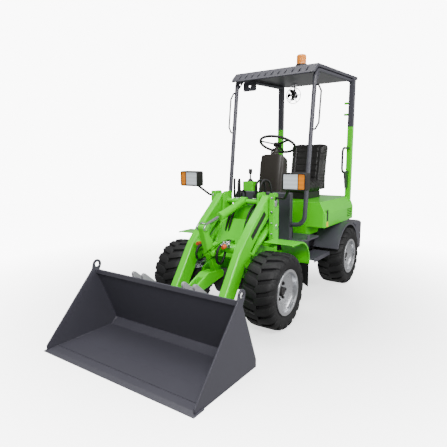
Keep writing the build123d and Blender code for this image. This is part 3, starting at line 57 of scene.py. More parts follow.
SIDES = (1.0, -1.0)
"""Left and right of the machine, as signs of X."""
AHEAD = Vector((0, -1, 0))
"""Direction in which the machine drives."""
UP = Vector((0, 0, 1))


class Body(StrEnum):
    """Bodies that carry pieces of the scene's own."""

    FRONT = "front_frame"
    REAR = "rear_frame"
    ARM = "lift_arm"
    BUCKET = "bucket"
    FAN = "fan_rotor"


class Corner(Enum):
    """Wheels, each with its label, its side and its axle's place along Y in metres."""

    FRONT_LEFT = ("front_left", 1.0, -0.452)
    FRONT_RIGHT = ("front_right", -1.0, -0.452)
    REAR_LEFT = ("rear_left", 1.0, 1.155)
    REAR_RIGHT = ("rear_right", -1.0, 1.155)

    def __init__(self, label: str, side: float, axle_y: float) -> None:
        """Keep one wheel's facts.

        Args:
            label: Name that its nodes end in.
            side: Sign of its place along X.
            axle_y: Place of its axle along Y.
        """
        self.label = label
        self.side = side
        self.axle_y = axle_y


class Head(Enum):
    """Kinds of bolt head and cap, each a stack of drums.

    A drum has its sides, its radii at foot and top, and its heights at foot and top, as shares.
    """

    HEXAGON = ((6, 1.0, 1.0, 0.0, 0.8), (6, 1.0, 0.84, 0.8, 1.0), (20, 1.35, 1.3, 0.0, 0.22))
    DISC = ((32, 1.0, 1.0, 0.0, 0.7), (32, 1.0, 0.85, 0.7, 1.0))


class Value:
    """One shader socket that takes part in Python arithmetic."""

    def __init__(self, shader: "Shader", socket: bpy.types.NodeSocket) -> None:
        """Keep an output socket and the shader it belongs to."""
        self.shader = shader
        self.socket = socket

    def _math(self, operation: str, first: Any, second: Any) -> "Value":
        """Add one Math node with a value or number on each side."""
        return self.shader.node("ShaderNodeMath", {"operation": operation}, {0: first, 1: second})

    def __add__(self, other: Any) -> "Value":
        """Sum."""
        return self._math("ADD", self, other)

    def __radd__(self, other: Any) -> "Value":
        """Reflected sum."""
        return self._math("ADD", other, self)

    def __sub__(self, other: Any) -> "Value":
        """Difference."""
        return self._math("SUBTRACT", self, other)

    def __rsub__(self, other: Any) -> "Value":
        """Reflected difference."""
        return self._math("SUBTRACT", other, self)

    def __mul__(self, other: Any) -> "Value":
        """Product."""
        return self._math("MULTIPLY", self, other)

    def __rmul__(self, other: Any) -> "Value":
        """Reflected product."""
        return self._math("MULTIPLY", other, self)

    def limited(self) -> "Value":
        """Value held between nought and one."""
        return self.shader.node("ShaderNodeClamp", {}, {0: self, 1: 0.0, 2: 1.0})


class Shader:
    """Node tree of one material around a Principled shader."""

    def __init__(self, name: str) -> None:
        """Start a material with an empty surface.

        Args:
            name: The material's name.
        """
        self.material = bpy.data.materials.new(name)
        self.material.use_nodes = True
        self.tree = self.material.node_tree
        self.surface = self.tree.nodes["Principled BSDF"]
        self.place = self.node("ShaderNodeTexCoord", {}, {}, "Object")

    def node(self, kind: str, settings: dict[str, Any], sockets: dict[Any, Any],
             output: Any = 0) -> Value:
        """Add a node of any type.

        Args:
            kind: The node's type.
            settings: Attributes that are set before its sockets.
            sockets: Values or links by socket name or number.
            output: Name or number of the wanted output.

        Returns:
            The chosen output.
        """
        made = self.tree.nodes.new(kind)
        for key, value in settings.items():
            setattr(made, key, value)
        for key, value in sockets.items():
            self.feed(made.inputs[key], value)
        return Value(self, made.outputs[output])

    def feed(self, socket: bpy.types.NodeSocket, value: Any) -> None:
        """Link or set one input.

        Args:
            socket: The input.
            value: A Value, a number, or a colour.
        """
        if isinstance(value, Value):
            self.tree.links.new(value.socket, socket)
        elif isinstance(value, tuple) and socket.type == "RGBA":
            socket.default_value = (*value, 1.0) if len(value) == 3 else value
        else:
            socket.default_value = value

    def set(self, **inputs: Any) -> None:
        """Feed the surface, with underscores for the spaces in socket names."""
        for key, value in inputs.items():
            self.feed(self.surface.inputs[key.replace("_", " ")], value)

    def noise(self, scale: float, detail: float = 3.0) -> Value:
        """Fractal noise over the object, by its repeats per metre and its octaves."""
        sockets = {"Vector": self.place, "Scale": scale, "Detail": detail, "Roughness": 0.55}
        return self.node("ShaderNodeTexNoise", {}, sockets, "Fac")

    def wave(self, direction: str, scale: float) -> Value:
        """Straight bands across one axis, by their scale."""
        sockets = {"Vector": self.place, "Scale": scale}
        return self.node("ShaderNodeTexWave", {"bands_direction": direction}, sockets, "Fac")

    def ramp(self, value: Value, *stops: tuple[float, float]) -> Value:
        """Map a value through a grey ramp.

        Args:
            value: What is mapped.
            stops: Position and grey of both ends.

        Returns:
            The mapped value.
        """
        made = self.node("ShaderNodeValToRGB", {}, {"Fac": value}, "Color")
        for element, (position, grey) in zip(made.socket.node.color_ramp.elements, stops):
            element.position = position
            element.color = (grey, grey, grey, 1.0)
        return made

    def blend(self, amount: Any, first: Any, second: Any) -> Value:
        """Mix two colours by the share of the second."""
        settings = {"data_type": "RGBA"}
        return self.node("ShaderNodeMix", settings, {0: amount, 6: first, 7: second}, 2)

    def bump(self, height: Value, distance: float) -> Value:
        """Normal bent by a height from nought to one, over a depth in metres."""
        sockets = {"Height": height, "Distance": distance, "Strength": 1.0}
        return self.node("ShaderNodeBump", {}, sockets, "Normal")

    def height(self) -> Value:
        """Height above the ground in metres."""
        return self.node("ShaderNodeSeparateXYZ", {}, {0: self.place}, "Z")


@dataclass(frozen=True)
class Finish:
    """One painted, plated or moulded surface."""

    WANDER_SCALE: ClassVar[float] = 6.0
    """Repeats per metre of the slow change of colour and roughness."""
    FINE_SCALE: ClassVar[float] = 90.0
    """Repeats per metre of the fine change of roughness."""
    DUST_SCALE: ClassVar[float] = 14.0
    """Repeats per metre of the dust's patches."""
    DUST_HEIGHT: ClassVar[float] = 0.9
    """Height in metres at which the dust ends."""
    COAT_ROUGHNESS: ClassVar[float] = 0.08

    name: str
    slot: str
    """The record's slot, empty for a surface of the scene's own."""
    colour: Colour
    roughness: float
    metallic: float = 0.0
    coat: float = 0.0
    grain: float = 0.0
    """Repeats per metre of the fine texture, nought for none."""
    depth: float = 0.0
    """Depth of the fine texture in metres."""
    mottle: float = 0.06
    """Share by which the colour wanders."""
    dust: float = 0.0
    """Share of pale dust near the ground."""
    dust_colour: Colour = (0.36, 0.34, 0.31)
    gloss: float = 0.5
    """Share of the mirror reflection on bare or painted surfaces."""

    def material(self) -> bpy.types.Material:
        """Build the material once and reuse it."""
        known = bpy.data.materials.get(self.name)
        return known if known else self._build()

    def _build(self) -> bpy.types.Material:
        """Lay out the material's nodes.

        Returns:
            The new material.
        """
        shader = Shader(self.name)
        wander = shader.noise(self.WANDER_SCALE, 4.0)
        fine = shader.noise(self.FINE_SCALE, 2.0)
        darker = tuple(part * (1 - self.mottle) for part in self.colour)
        lighter = tuple(min(1.0, part * (1 + self.mottle)) for part in self.colour)
        colour = shader.blend(wander, darker, lighter)
        rough = (self.roughness + (fine - 0.5) * (0.25 * self.roughness)
                 + (wander - 0.5) * (0.2 * self.roughness))
        if self.dust:
            low = shader.ramp(shader.height(), (0.0, 1.0), (self.DUST_HEIGHT, 0.0))
            patches = shader.ramp(shader.noise(self.DUST_SCALE, 5.0), (0.42, 0.0), (0.72, 1.0))
            film = (patches * low * self.dust).limited()
            colour = shader.blend(film, colour, self.dust_colour)
            rough = rough + film * 0.3
        shader.set(Base_Color=colour, Roughness=rough.limited(), Metallic=self.metallic)
        shader.set(Coat_Weight=self.coat, Coat_Roughness=self.COAT_ROUGHNESS)
        shader.set(Specular_IOR_Level=self.gloss)
        if self.grain:
            shader.set(Normal=shader.bump(shader.noise(self.grain, 2.0), self.depth))
        return shader.material


@dataclass(frozen=True)
class Lens(Finish):
    """Moulded lens with upright ribs and faint level bands, its colour darkened along both as
    painted shade.
    """

    ribs: float = 38.0
    bands: float = 9.0
    rib_depth: float = 0.0012
    shade: float = 0.72
    # Share of the colour in the painted shade along the ribs and bands.
    """Share of the colour in the dark of the ribs."""

    def _build(self) -> bpy.types.Material:
        """Lay out a ribbed lens.

        Returns:
            The new material.
        """
        shader = Shader(self.name)
        wave = shader.wave("X", self.ribs)
        cross = shader.wave("Z", self.bands)
        # The darker colour is painted shade along the ribs and the level bands; the moulding's own
        # colour is even.
        darker = tuple(part * self.shade for part in self.colour)
        shader.set(Base_Color=shader.blend(wave * 0.5 + cross * 0.5, darker, self.colour))
        shader.set(Roughness=(self.roughness + shader.noise(40.0) * 0.08).limited())
        shader.set(Coat_Weight=self.coat, Specular_IOR_Level=self.gloss)
        shader.set(Normal=shader.bump(wave, self.rib_depth))
        return shader.material


@dataclass(frozen=True)
class Vinyl(Finish):
    """Black vinyl with a pebbled grain."""

    pebble: float = 520.0
    pebble_depth: float = 0.0006

    def _build(self) -> bpy.types.Material:
        """Lay out a pebbled leather surface.

        Returns:
            The new material.
        """
        shader = Shader(self.name)
        sockets = {"Vector": shader.place, "Scale": self.pebble}
        pebbles = shader.node("ShaderNodeTexVoronoi", {"feature": "SMOOTH_F1"}, sockets, "Distance")
        wander = shader.noise(9.0, 4.0)
        lighter = tuple(part * 1.5 for part in self.colour)
        rough = self.roughness + (pebbles - 0.4) * 0.12 + (wander - 0.5) * 0.15
        relief = pebbles + shader.noise(60.0, 3.0) * 0.5
        shader.set(Base_Color=shader.blend(wander, self.colour, lighter), Roughness=rough.limited())
        shader.set(Normal=shader.bump(relief, self.pebble_depth), Specular_IOR_Level=self.gloss)
        return shader.material


GREEN = Finish("lime_green_paint", "green_paint", (0.07, 0.6, 0.001), 0.3, coat=0.12, grain=260.0,
               depth=0.0002, dust=0.05, gloss=0.35)
CHARCOAL = Finish("charcoal_paint_satin", "charcoal_paint", (0.05, 0.049, 0.062), 0.42, coat=0.05,
                  grain=420.0, depth=0.0003, mottle=0.05, gloss=0.4)
EDGE = Finish("cutting_edge_paint", "edge_steel", (0.055, 0.054, 0.067), 0.4, grain=300.0,
              depth=0.0003, gloss=0.4)
IRON = Finish("axle_casting", "axle_iron", (0.010, 0.010, 0.011), 0.55, grain=240.0, depth=0.0008,
              dust=0.1, gloss=0.3)
GREY = Finish("coupler_grey_paint", "coupler_grey", (0.27, 0.27, 0.285), 0.4, coat=0.1, grain=260.0,
              depth=0.0003, gloss=0.4)
CASE = Finish("battery_case_moulding", "battery_case", (0.02, 0.02, 0.022), 0.55, grain=700.0,
              depth=0.0003, gloss=0.3)
PLASTIC = Finish("black_moulding", "black_plastic", (0.0125, 0.0115, 0.011), 0.46, grain=900.0,
                 depth=0.0003, mottle=0.15, gloss=0.35)
TUBE = Finish("black_tube_paint", "black_tube", (0.016, 0.016, 0.018), 0.34, coat=0.1, grain=380.0,
              depth=0.0002, gloss=0.4)
VINYL = Vinyl("seat_vinyl_black", "seat_vinyl", (0.008, 0.0075, 0.007), 0.42, gloss=0.4)
TYRE = Finish("tyre_rubber_black", "tyre_rubber", (0.0085, 0.0085, 0.009), 0.6, grain=300.0,
              depth=0.0005, mottle=0.2, dust=0.08, dust_colour=(0.06, 0.058, 0.055), gloss=0.28)
RUBBER = Finish("rubber_sheet_black", "rubber_sheet", (0.008, 0.008, 0.0085), 0.48, grain=500.0,
                depth=0.0003, mottle=0.15, gloss=0.3)
RIM = Finish("rim_silver_paint", "rim_silver", (0.56, 0.57, 0.59), 0.28, metallic=0.9, coat=0.1,
             grain=300.0, depth=0.0002, dust=0.05)
CHROME = Finish("bright_plating", "chrome", (0.72, 0.72, 0.74), 0.16, metallic=1.0, mottle=0.03)
CLEAR = Lens("lamp_lens_clear", "clear_lens", (0.74, 0.79, 0.84), 0.16, coat=0.2, gloss=0.5)
AMBER = Lens("amber_lens_moulding", "amber_lens", (0.86, 0.25, 0.001), 0.25, coat=0.1, gloss=0.3)
RED = Lens("red_lens_moulding", "red_lens", (0.4, 0.006, 0.006), 0.2, coat=0.2, gloss=0.4)
COWL = Finish("cowl_brown_black", "black_plastic", (0.017, 0.014, 0.011), 0.42, grain=900.0,
              depth=0.0003, mottle=0.12, gloss=0.35)
CAP = Finish("dust_cap_orange", "", (0.55, 0.075, 0.012), 0.4, gloss=0.4)
LABEL = Finish("label_yellow_blank", "", (0.8, 0.56, 0.01), 0.45, gloss=0.3)

FINISHES: dict[str, Finish] = {
    finish.slot: finish
    for finish in (GREEN, CHARCOAL, EDGE, IRON, GREY, CASE, PLASTIC, TUBE, VINYL, TYRE, RUBBER, RIM,
                   CHROME, CLEAR, AMBER, RED)}


class Workshop:
    """Shared ways to make, dress and seat a piece."""

    @staticmethod
    def piece(name: str, mesh: Mesh, finish: Finish, body: str, *replaced: str,
              smooth: float = 32.0) -> bpy.types.Object:
        """Turn a bmesh into a dressed piece that rides on a body.

        Args:
            name: The piece's name.
            mesh: Its shape, which is freed.
            finish: Its surface.
            body: The body it rides on.
            replaced: Nodes it stands for.
            smooth: Angle in degrees above which an edge stays sharp.

        Returns:
            The new object.
        """
        data = bpy.data.meshes.new(name)
        mesh.to_mesh(data)
        mesh.free()
        data.shade_smooth()
        data.set_sharp_from_angle(angle=radians(smooth))
        made = bpy.data.objects.new(name, data)
        bpy.context.scene.collection.objects.link(made)
        data.materials.append(finish.material())
        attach(made, body)
        if replaced:
            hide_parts(*replaced)
        LOG.info("%s on %s", name, body)
        return made

    @staticmethod
    def spun(profile: Sequence[tuple[float, float]], steps: int) -> Mesh:
        """Revolve a closed profile about the X axis.

        Args:
            profile: Its points as x and radius.
            steps: Sides of the round.

        Returns:
            The ring.
        """
        mesh = bmesh.new()
        verts = [mesh.verts.new((x, 0.0, radius)) for x, radius in profile]
        edges = [mesh.edges.new(pair) for pair in zip(verts, verts[1:] + verts[:1])]
        bmesh.ops.spin(mesh, geom=verts + edges, cent=(0, 0, 0), axis=(1, 0, 0), angle=2 * pi,
                       steps=steps, use_merge=True)
        bmesh.ops.remove_doubles(mesh, verts=mesh.verts, dist=1e-6)
        bmesh.ops.recalc_face_normals(mesh, faces=mesh.faces)
        return mesh

    @staticmethod
    def copied(node: str) -> Mesh:
        """Copy a node's mesh with its doubles merged.

        Args:
            node: The node's name.

        Returns:
            The copy.
        """
        mesh = bmesh.new()
        mesh.from_mesh(frame["nodes"][node].data)
        bmesh.ops.remove_doubles(mesh, verts=mesh.verts, dist=2e-5)
        return mesh

    @staticmethod
    def extent(points: Sequence[Any]) -> tuple[Vector, Vector]:
        """Box of the vertices of a bmesh or of a mesh.

        Args:
            points: The vertices.

        Returns:
            Its lowest and highest corner.
        """
        low = Vector(min(point.co[axis] for point in points) for axis in range(3))
        high = Vector(max(point.co[axis] for point in points) for axis in range(3))
        return low, high

    @staticmethod
    def settle(made: bpy.types.Object) -> None:
        """Keep the result of an object's modifiers as its mesh.

        Args:
            made: The object.
        """
        bpy.context.view_layer.update()
        done = made.evaluated_get(bpy.context.evaluated_depsgraph_get())
        data = bpy.data.meshes.new_from_object(done)
        made.modifiers.clear()
        made.data = data
        data.shade_smooth()

    @staticmethod
    def skin(mesh: Mesh, rows: Sequence[Sequence[Vert]], closed: bool) -> None:
        """Span faces between rows of vertices.

        Args:
            mesh: Where the rows are.
            rows: Rows of equal length, in order.
            closed: Whether each row runs round to its start.
        """
        count = len(rows[0])
        for near, far in zip(rows, rows[1:]):
            for first in range(count if closed else count - 1):
                second = (first + 1) % count
                mesh.faces.new((near[first], near[second], far[second], far[first]))

    @staticmethod
    def stud(mesh: Mesh, head: Head, spot: Vector, way: Vector, radius: float,
             height: float) -> None:
        """Stand a bolt head, nut or cap on a spot.

        Args:
            mesh: Where it goes.
            head: Its kind.
            spot: Middle of its foot.
            way: Direction in which it stands up.
            radius: Its radius, to the corners of a hexagon.
            height: Its height.
        """
        stand = Matrix.Translation(spot) @ way.to_track_quat("Z", "Y").to_matrix().to_4x4()
        for sides, foot, top, low, high in head.value:
            place = stand @ Matrix.Translation((0, 0, height * (low + high) / 2))
            bmesh.ops.create_cone(mesh, cap_ends=True, segments=sides, radius1=radius * foot,
                                  radius2=radius * top, depth=height * (high - low), matrix=place)

    @staticmethod
    def block(mesh: Mesh, middle: Point, size: Point, lean: float = 0.0) -> None:
        """Add a box, by its middle, its sides and its turn about X in degrees."""
        place = Matrix.Translation(middle) @ Matrix.Rotation(radians(lean), 4, "X")
        bmesh.ops.create_cube(mesh, size=1.0, matrix=place @ Matrix.Diagonal((*size, 1.0)))

    @staticmethod
    def holed(mesh: Mesh, middle: Vector, size: Point, hole: float, count: int = 32) -> None:
        """Add an upright plate with a round hole.

        Args:
            mesh: Where it goes.
            middle: Its middle.
            size: Its sides.
            hole: Radius of the hole.
            count: Sides of the hole.
        """
        loops = []
        for y, outer in ((-0.5, True), (0.5, True), (0.5, False), (-0.5, False)):
            loop = []
            for step in range(count):
                angle = 2 * pi * (step + 0.5) / count
                across, along = cos(angle), sin(angle)
                reach = 0.5 / max(abs(across), abs(along))
                x = across * (reach * size[0] if outer else hole)
                z = along * (reach * size[2] if outer else hole)
                loop.append(mesh.verts.new(middle + Vector((x, y * size[1], z))))
            loops.append(loop)
        Workshop.skin(mesh, loops + loops[:1], True)
        bmesh.ops.recalc_face_normals(mesh, faces=mesh.faces)


@dataclass
class Dressing:
    """Copies of the solids with eased edges, which stand in for them."""

    widths: dict[str, float]
    """Size of the eased edges in metres, by node."""
    made: set[str]
    """Nodes that other classes stand in for."""
    usual: float = 0.002
    bend: float = 28.0
    """Bends sharper than this many degrees are eased."""
    flat: float = 0.6
    """Bends below this many degrees count as flat."""

    def eased(self, node: str, finish: Finish, body: str) -> None:
        """Stand in for a node with a copy whose edges are eased.

        Args:
            node: The node's name.
            finish: Its surface.
            body: The body it rides on.
        """
        mesh = Workshop.copied(node)
        bmesh.ops.dissolve_limit(mesh, angle_limit=radians(self.flat), verts=mesh.verts,
                                 edges=mesh.edges)
        made = Workshop.piece(f"{node}_eased", mesh, finish, body, node)
        ease = made.modifiers.new("ease", "BEVEL")
        ease.width = self.widths.get(node, self.usual)
        ease.segments = 2
        ease.limit_method = "ANGLE"
        ease.angle_limit = radians(self.bend)
        ease.use_clamp_overlap = False

    def build(self) -> None:
        """Dress every node of the part."""
        slots = {part["node"]: part["material_slot"] for part in frame["record"]["subparts"]}
        for body, nodes in frame["record"]["behaviour"]["bodies"].items():
            for node in nodes:
                if node not in self.made:
                    self.eased(node, FINISHES[slots[node]], body)


@dataclass
class Tyre:
    """Industrial tyre with two rows of broad lugs, its axle along X."""

    PROFILE: ClassVar[list[tuple[float, float]]] = [
        (0.1245, 0.1885), (0.1250, 0.1990), (0.1300, 0.2040), (0.1310, 0.2120), (0.1365, 0.2220),
        (0.1410, 0.2400), (0.1425, 0.2600), (0.1385, 0.2830), (0.1260, 0.2990), (0.1050, 0.3055),
        (0.0550, 0.3080), (0.0, 0.3085)]
    """X and radius from the bead over the sidewall to the crown."""
    STATIONS: ClassVar[Sequence[tuple[float, float, float, float]]] = (
        (-0.012, 0.3265, 0.300, 0.45), (-0.004, 0.3275, 0.300, 0.80), (0.012, 0.3280, 0.300, 1.0),
        (0.050, 0.3280, 0.300, 1.0), (0.088, 0.3270, 0.298, 1.0), (0.116, 0.3220, 0.290, 1.0),
        (0.134, 0.3080, 0.275, 0.98), (0.1435, 0.2860, 0.255, 0.94), (0.1448, 0.2640, 0.245, 0.86))
    """X, top radius, foot radius and share of the full width along a lug."""

    corner: Corner
    track: float = 0.97
    radius: float = 0.33
    lugs: int = 20
    lug_width: float = 0.064
    lug_ease: float = 0.005
    slant: float = 15.0
    bend_from: float = 0.06
    """X from which a lug bends back."""
    bend: float = 1.6
    flare: float = 1.16
    """Width of a lug's foot as a share of its top."""
    foot_limit: float = 0.118
    """Largest X of a lug's foot, inside the casing."""
    steps: int = 96
    nut_face: float = 0.068
    nut_circle: float = 0.07
    nuts: int = 6

    def lug(self, mesh: Mesh, turn: float, hand: float) -> list[bmesh.types.BMEdge]:
        """Add one lug that runs from the middle of the tread over the shoulder.

        Args:
            mesh: Where it goes.
            turn: Its angle round the axle in radians.
            hand: One on the outer row, minus one on the inner row.

        Returns:
            The edges of its top.
        """
        rows = []
        for x, top, foot, share in self.STATIONS:
            past = x - self.bend_from
            lean = -past * tan(radians(self.slant)) / self.radius
            lean -= self.bend * max(0.0, past) ** 2 / self.radius
            half = share * self.lug_width / 2 / self.radius
            row = []
            for way, reach in ((-1, foot), (-1, top), (1, top), (1, foot)):
                angle = turn + lean + way * half * (1.0 if reach == top else self.flare)
                inset = x if reach == top else min(x, self.foot_limit)
                row.append(mesh.verts.new((hand * inset, -reach * sin(angle), reach * cos(angle))))
            rows.append(row)
        Workshop.skin(mesh, rows, False)
        mesh.faces.new(rows[0])
        mesh.faces.new(rows[-1])
        tops = {vert for row in rows for vert in row[1:3]}
        first = [edge for face in rows[0][1].link_faces for edge in face.edges]
        later = [edge for row in rows[1:] for vert in row[1:3] for edge in vert.link_edges
                 if row is rows[-1] or not set(edge.verts) <= set(row[1:3])]
        return [edge for edge in first + later if set(edge.verts) <= tops]

    def build(self) -> None:
        """Make the tyre and the wheel's nuts."""
        mirrored = [(-x, radius) for x, radius in reversed(self.PROFILE[:-1])]
        mesh = Workshop.spun(self.PROFILE + mirrored, self.steps)
        tops: set[bmesh.types.BMEdge] = set()
        pitch = 2 * pi / self.lugs
        for count in range(self.lugs):
            tops.update(self.lug(mesh, count * pitch, 1.0))
            tops.update(self.lug(mesh, (count + 0.5) * pitch, -1.0))
        bmesh.ops.bevel(mesh, geom=list(tops), offset=self.lug_ease, segments=2, profile=0.5,
                        affect="EDGES", material=-1, clamp_overlap=True)
        bmesh.ops.scale(mesh, vec=(self.corner.side, 1.0, 1.0), verts=mesh.verts)
        bmesh.ops.recalc_face_normals(mesh, faces=mesh.faces)
        bmesh.ops.translate(mesh, vec=self.centre(), verts=mesh.verts)
        label = self.corner.label
        Workshop.piece(f"tread_{label}", mesh, TYRE, f"wheel_{label}", f"tyre_{label}", smooth=40.0)
        self.fasten()

    def centre(self) -> Vector:
        """Middle of the wheel."""
        return Vector((self.corner.side * self.track / 2, self.corner.axle_y, self.radius))

    def fasten(self) -> None:
        """Cap the wheel's bolts and add the hub's cap."""
        mesh = bmesh.new()
        out = Vector((self.corner.side, 0, 0))
        face = self.centre() + out * self.nut_face
        for count in range(self.nuts):
            angle = 2 * pi * count / self.nuts
            around = Vector((0, cos(angle), sin(angle))) * self.nut_circle
            Workshop.stud(mesh, Head.HEXAGON, face + around, out, 0.0125, 0.016)
        Workshop.stud(mesh, Head.DISC, face + out * 0.015, out, 0.036, 0.012)
        label = self.corner.label
        Workshop.piece(f"nuts_{label}", mesh, PLASTIC, f"wheel_{label}")


def groove(distance: float, width: float) -> float:
    """Smooth furrow, one on its line and nought away from it, by its half width."""
    return exp(-(distance / width) ** 2)


@dataclass(frozen=True)
class Seams:
    """Side seams, cross channels and hollow of one pad's sewn face."""

    node: str
    facing: Point
    """Direction that the face looks in."""
    axis: int
    """Axis along which the channels follow one another."""
    shares: tuple[float, ...]
    """Places of the channels along the pad."""
    side: float
    """Distance of the side seams from the middle."""
    hollow: float
    fading: bool = False
    """Whether the hollow fades as the face turns away."""
    margin: float = 0.005
    channel_depth: float = 0.006
    channel_width: float = 0.007
    side_depth: float = 0.009
    side_width: float = 0.008
    least_facing: float = 0.25

    def depth(self, point: Vector, normal: Vector, lines: Sequence[float]) -> float:
        """Depth to which the cover is pulled in.

        Args:
            point: A point of the cover.
            normal: The cover's normal there.
            lines: Places of the channels in metres.

        Returns:
            The depth in metres.
        """
        faced = normal.dot(Vector(self.facing))
        if faced < self.least_facing:
            return 0.0
        across = abs(point.x)
        inside = 1.0 if across < self.side - self.margin else 0.0
        channel = max(groove(point[self.axis] - line, self.channel_width) for line in lines)
        seam = groove(across - self.side, self.side_width)
        hollow = self.hollow * max(0.0, 1 - (across / self.side) ** 2)
        return (self.channel_depth * channel * inside + self.side_depth * seam
                + hollow * (faced if self.fading else 1.0))


@dataclass
class Seat:
    """Black vinyl seat whose pads are blown up like stuffed covers."""

    BACK: ClassVar[Seams] = Seams("seat_back", (0.0, -1.0, 0.0), 2, (0.26, 0.40, 0.54, 0.68, 0.82),
                                  0.14, 0.012, fading=True)
    CUSHION: ClassVar[Seams] = Seams("seat_cushion", (0.0, 0.0, 1.0), 1, (0.3, 0.48, 0.66, 0.84),
                                     0.15, 0.010)

    voxel: float = 0.006
    shrink: float = 0.955
    pressure: float = 4.0
    cap: float = 0.024
    """Longest way that the pressure moves a point, in metres."""
    frames: int = 20

    def pad(self, node: str) -> bpy.types.Object:
        """Swell one pad from a slightly smaller copy of its solid.

        Args:
            node: The pad's node.

        Returns:
            The pad.
        """
        mesh = Workshop.copied(node)
        low, high = Workshop.extent(mesh.verts)
        bmesh.ops.scale(mesh, vec=(self.shrink,) * 3, verts=mesh.verts,
                        space=Matrix.Translation(-(low + high) / 2))
        made = Workshop.piece(f"{node}_cover", mesh, VINYL, Body.REAR, node, smooth=180.0)
        remesh = made.modifiers.new("remesh", "REMESH")
        remesh.mode = "VOXEL"
        remesh.voxel_size = self.voxel
        Workshop.settle(made)
        self.inflate(made)
        return made

    def inflate(self, made: bpy.types.Object) -> None:
        """Blow a pad up with cloth under pressure and keep the result.

        Args:
            made: The pad.
        """
        scene = bpy.context.scene
        begin = [vertex.co.copy() for vertex in made.data.vertices]
        cloth = made.modifiers.new("cloth", "CLOTH")
        cloth.settings.use_pressure = True
        cloth.settings.uniform_pressure_force = self.pressure
        cloth.settings.effector_weights.gravity = 0.0
        cloth.settings.quality = 4
        cloth.point_cache.frame_start = 1
        cloth.point_cache.frame_end = self.frames
        for step in range(1, self.frames + 1):
            scene.frame_set(step)
        blown = made.evaluated_get(bpy.context.evaluated_depsgraph_get()).data
        ends = [vertex.co.copy() for vertex in blown.vertices]
        made.modifiers.remove(cloth)
        for vertex, start, end in zip(made.data.vertices, begin, ends):
            move = end - start
            vertex.co = start + move * min(1.0, self.cap / max(move.length, 1e-9))
        scene.frame_set(1)

    @staticmethod
    def sew(made: bpy.types.Object, seams: Seams) -> None:
        """Press seams and channels into a pad and smooth it.

        Args:
            made: The pad.
            seams: What is sewn into it.
        """
        low, high = (corner[seams.axis] for corner in Workshop.extent(made.data.vertices))
        lines = [low + share * (high - low) for share in seams.shares]
        normals = [vertex.normal.copy() for vertex in made.data.vertices]
        for vertex, normal in zip(made.data.vertices, normals):
            vertex.co -= normal * seams.depth(vertex.co, normal, lines)
        rounder = made.modifiers.new("rounder", "SUBSURF")
        rounder.levels = 1
        rounder.render_levels = 1

    def build(self) -> None:
        """Make both pads with their seams."""
        for seams in (self.BACK, self.CUSHION):
            self.sew(self.pad(seams.node), seams)


@dataclass
class Hoses:
    """Rubber hoses, each of which rides on one body."""

    radius: float = 0.011
    resolution: int = 10

    def run(self, name: str, routes: Sequence[Sequence[Point]], body: Body) -> None:
        """Lay hoses along smooth lines.

        Args:
            name: The piece's name.
            routes: Control points of each hose.
            body: The body that they ride on.
        """
        mesh = bmesh.new()
        for route in routes:
            curve = bpy.data.curves.new(name, "CURVE")
            curve.dimensions = "3D"
            curve.bevel_depth = self.radius
            curve.bevel_resolution = 4
            curve.use_fill_caps = True
            spline = curve.splines.new("NURBS")
            spline.points.add(len(route) - 1)
            for control, place in zip(spline.points, route):
                control.co = (*place, 1.0)
            spline.order_u = 3
            spline.use_endpoint_u = True
            spline.resolution_u = self.resolution
            holder = bpy.data.objects.new(name, curve)
            bpy.context.scene.collection.objects.link(holder)
            bpy.context.view_layer.update()
            shown = holder.evaluated_get(bpy.context.evaluated_depsgraph_get())
            laid = bpy.data.meshes.new_from_object(shown)
            mesh.from_mesh(laid)
            bpy.data.objects.remove(holder)
            bpy.data.meshes.remove(laid)
        Workshop.piece(name, mesh, RUBBER, body, smooth=60.0)


@dataclass
class Column:
    """Moulded cowl round the steering column, with the shaft that carries the wheel."""

    SECTIONS: ClassVar[Sequence[tuple[float, float, float, float, float]]] = (
        (0.400, 0.642, 0.120, 0.088, 0.0), (0.402, 0.80, 0.126, 0.094, 0.0),
        (0.408, 1.00, 0.132, 0.098, 0.0), (0.418, 1.20, 0.138, 0.098, 0.2),
        (0.434, 1.36, 0.140, 0.092, 0.6), (0.447, 1.445, 0.134, 0.082, 1.0),
        (0.4515, 1.4560, 0.118, 0.068, 1.0))
    """Middle y and z, half width, half depth and share of the rake, from the foot up."""

    rake: float = 25.0
    wheel: Point = (0.0, 0.513, 1.590)
    sides: int = 48
    collar: Point = (0.150, 0.046, 0.045)
    """Distance of its foot below the wheel, radius and height."""
    shaft: Point = (0.130, 0.021, 0.106)
    """Distance of its foot below the wheel, radius and height."""

    def build(self) -> None:
        """Loft the cowl and stand the shaft in it."""
        lean = radians(self.rake)
        mesh = bmesh.new()
        loops = []
        for y, z, wide, deep, share in self.SECTIONS:
            loop = []
            for step in range(self.sides):
                angle = 2 * pi * step / self.sides
                across, along = cos(angle), sin(angle)
                square = (across ** 4 + along ** 4) ** -0.25
                slide = along * square * deep
                loop.append(mesh.verts.new((across * square * wide, y + slide * cos(lean * share),
                                            z - slide * sin(lean * share))))
            loops.append(loop)
        Workshop.skin(mesh, loops, True)
        mesh.faces.new(loops[0])
        mesh.faces.new(loops[-1])
        bmesh.ops.recalc_face_normals(mesh, faces=mesh.faces)
        up = Vector((0.0, sin(lean), cos(lean)))
        for below, radius, height in (self.collar, self.shaft):
            Workshop.stud(mesh, Head.DISC, Vector(self.wheel) - up * below, up, radius, height)
        Workshop.piece("column_cowl", mesh, COWL, Body.REAR, "steering_column", smooth=38.0)


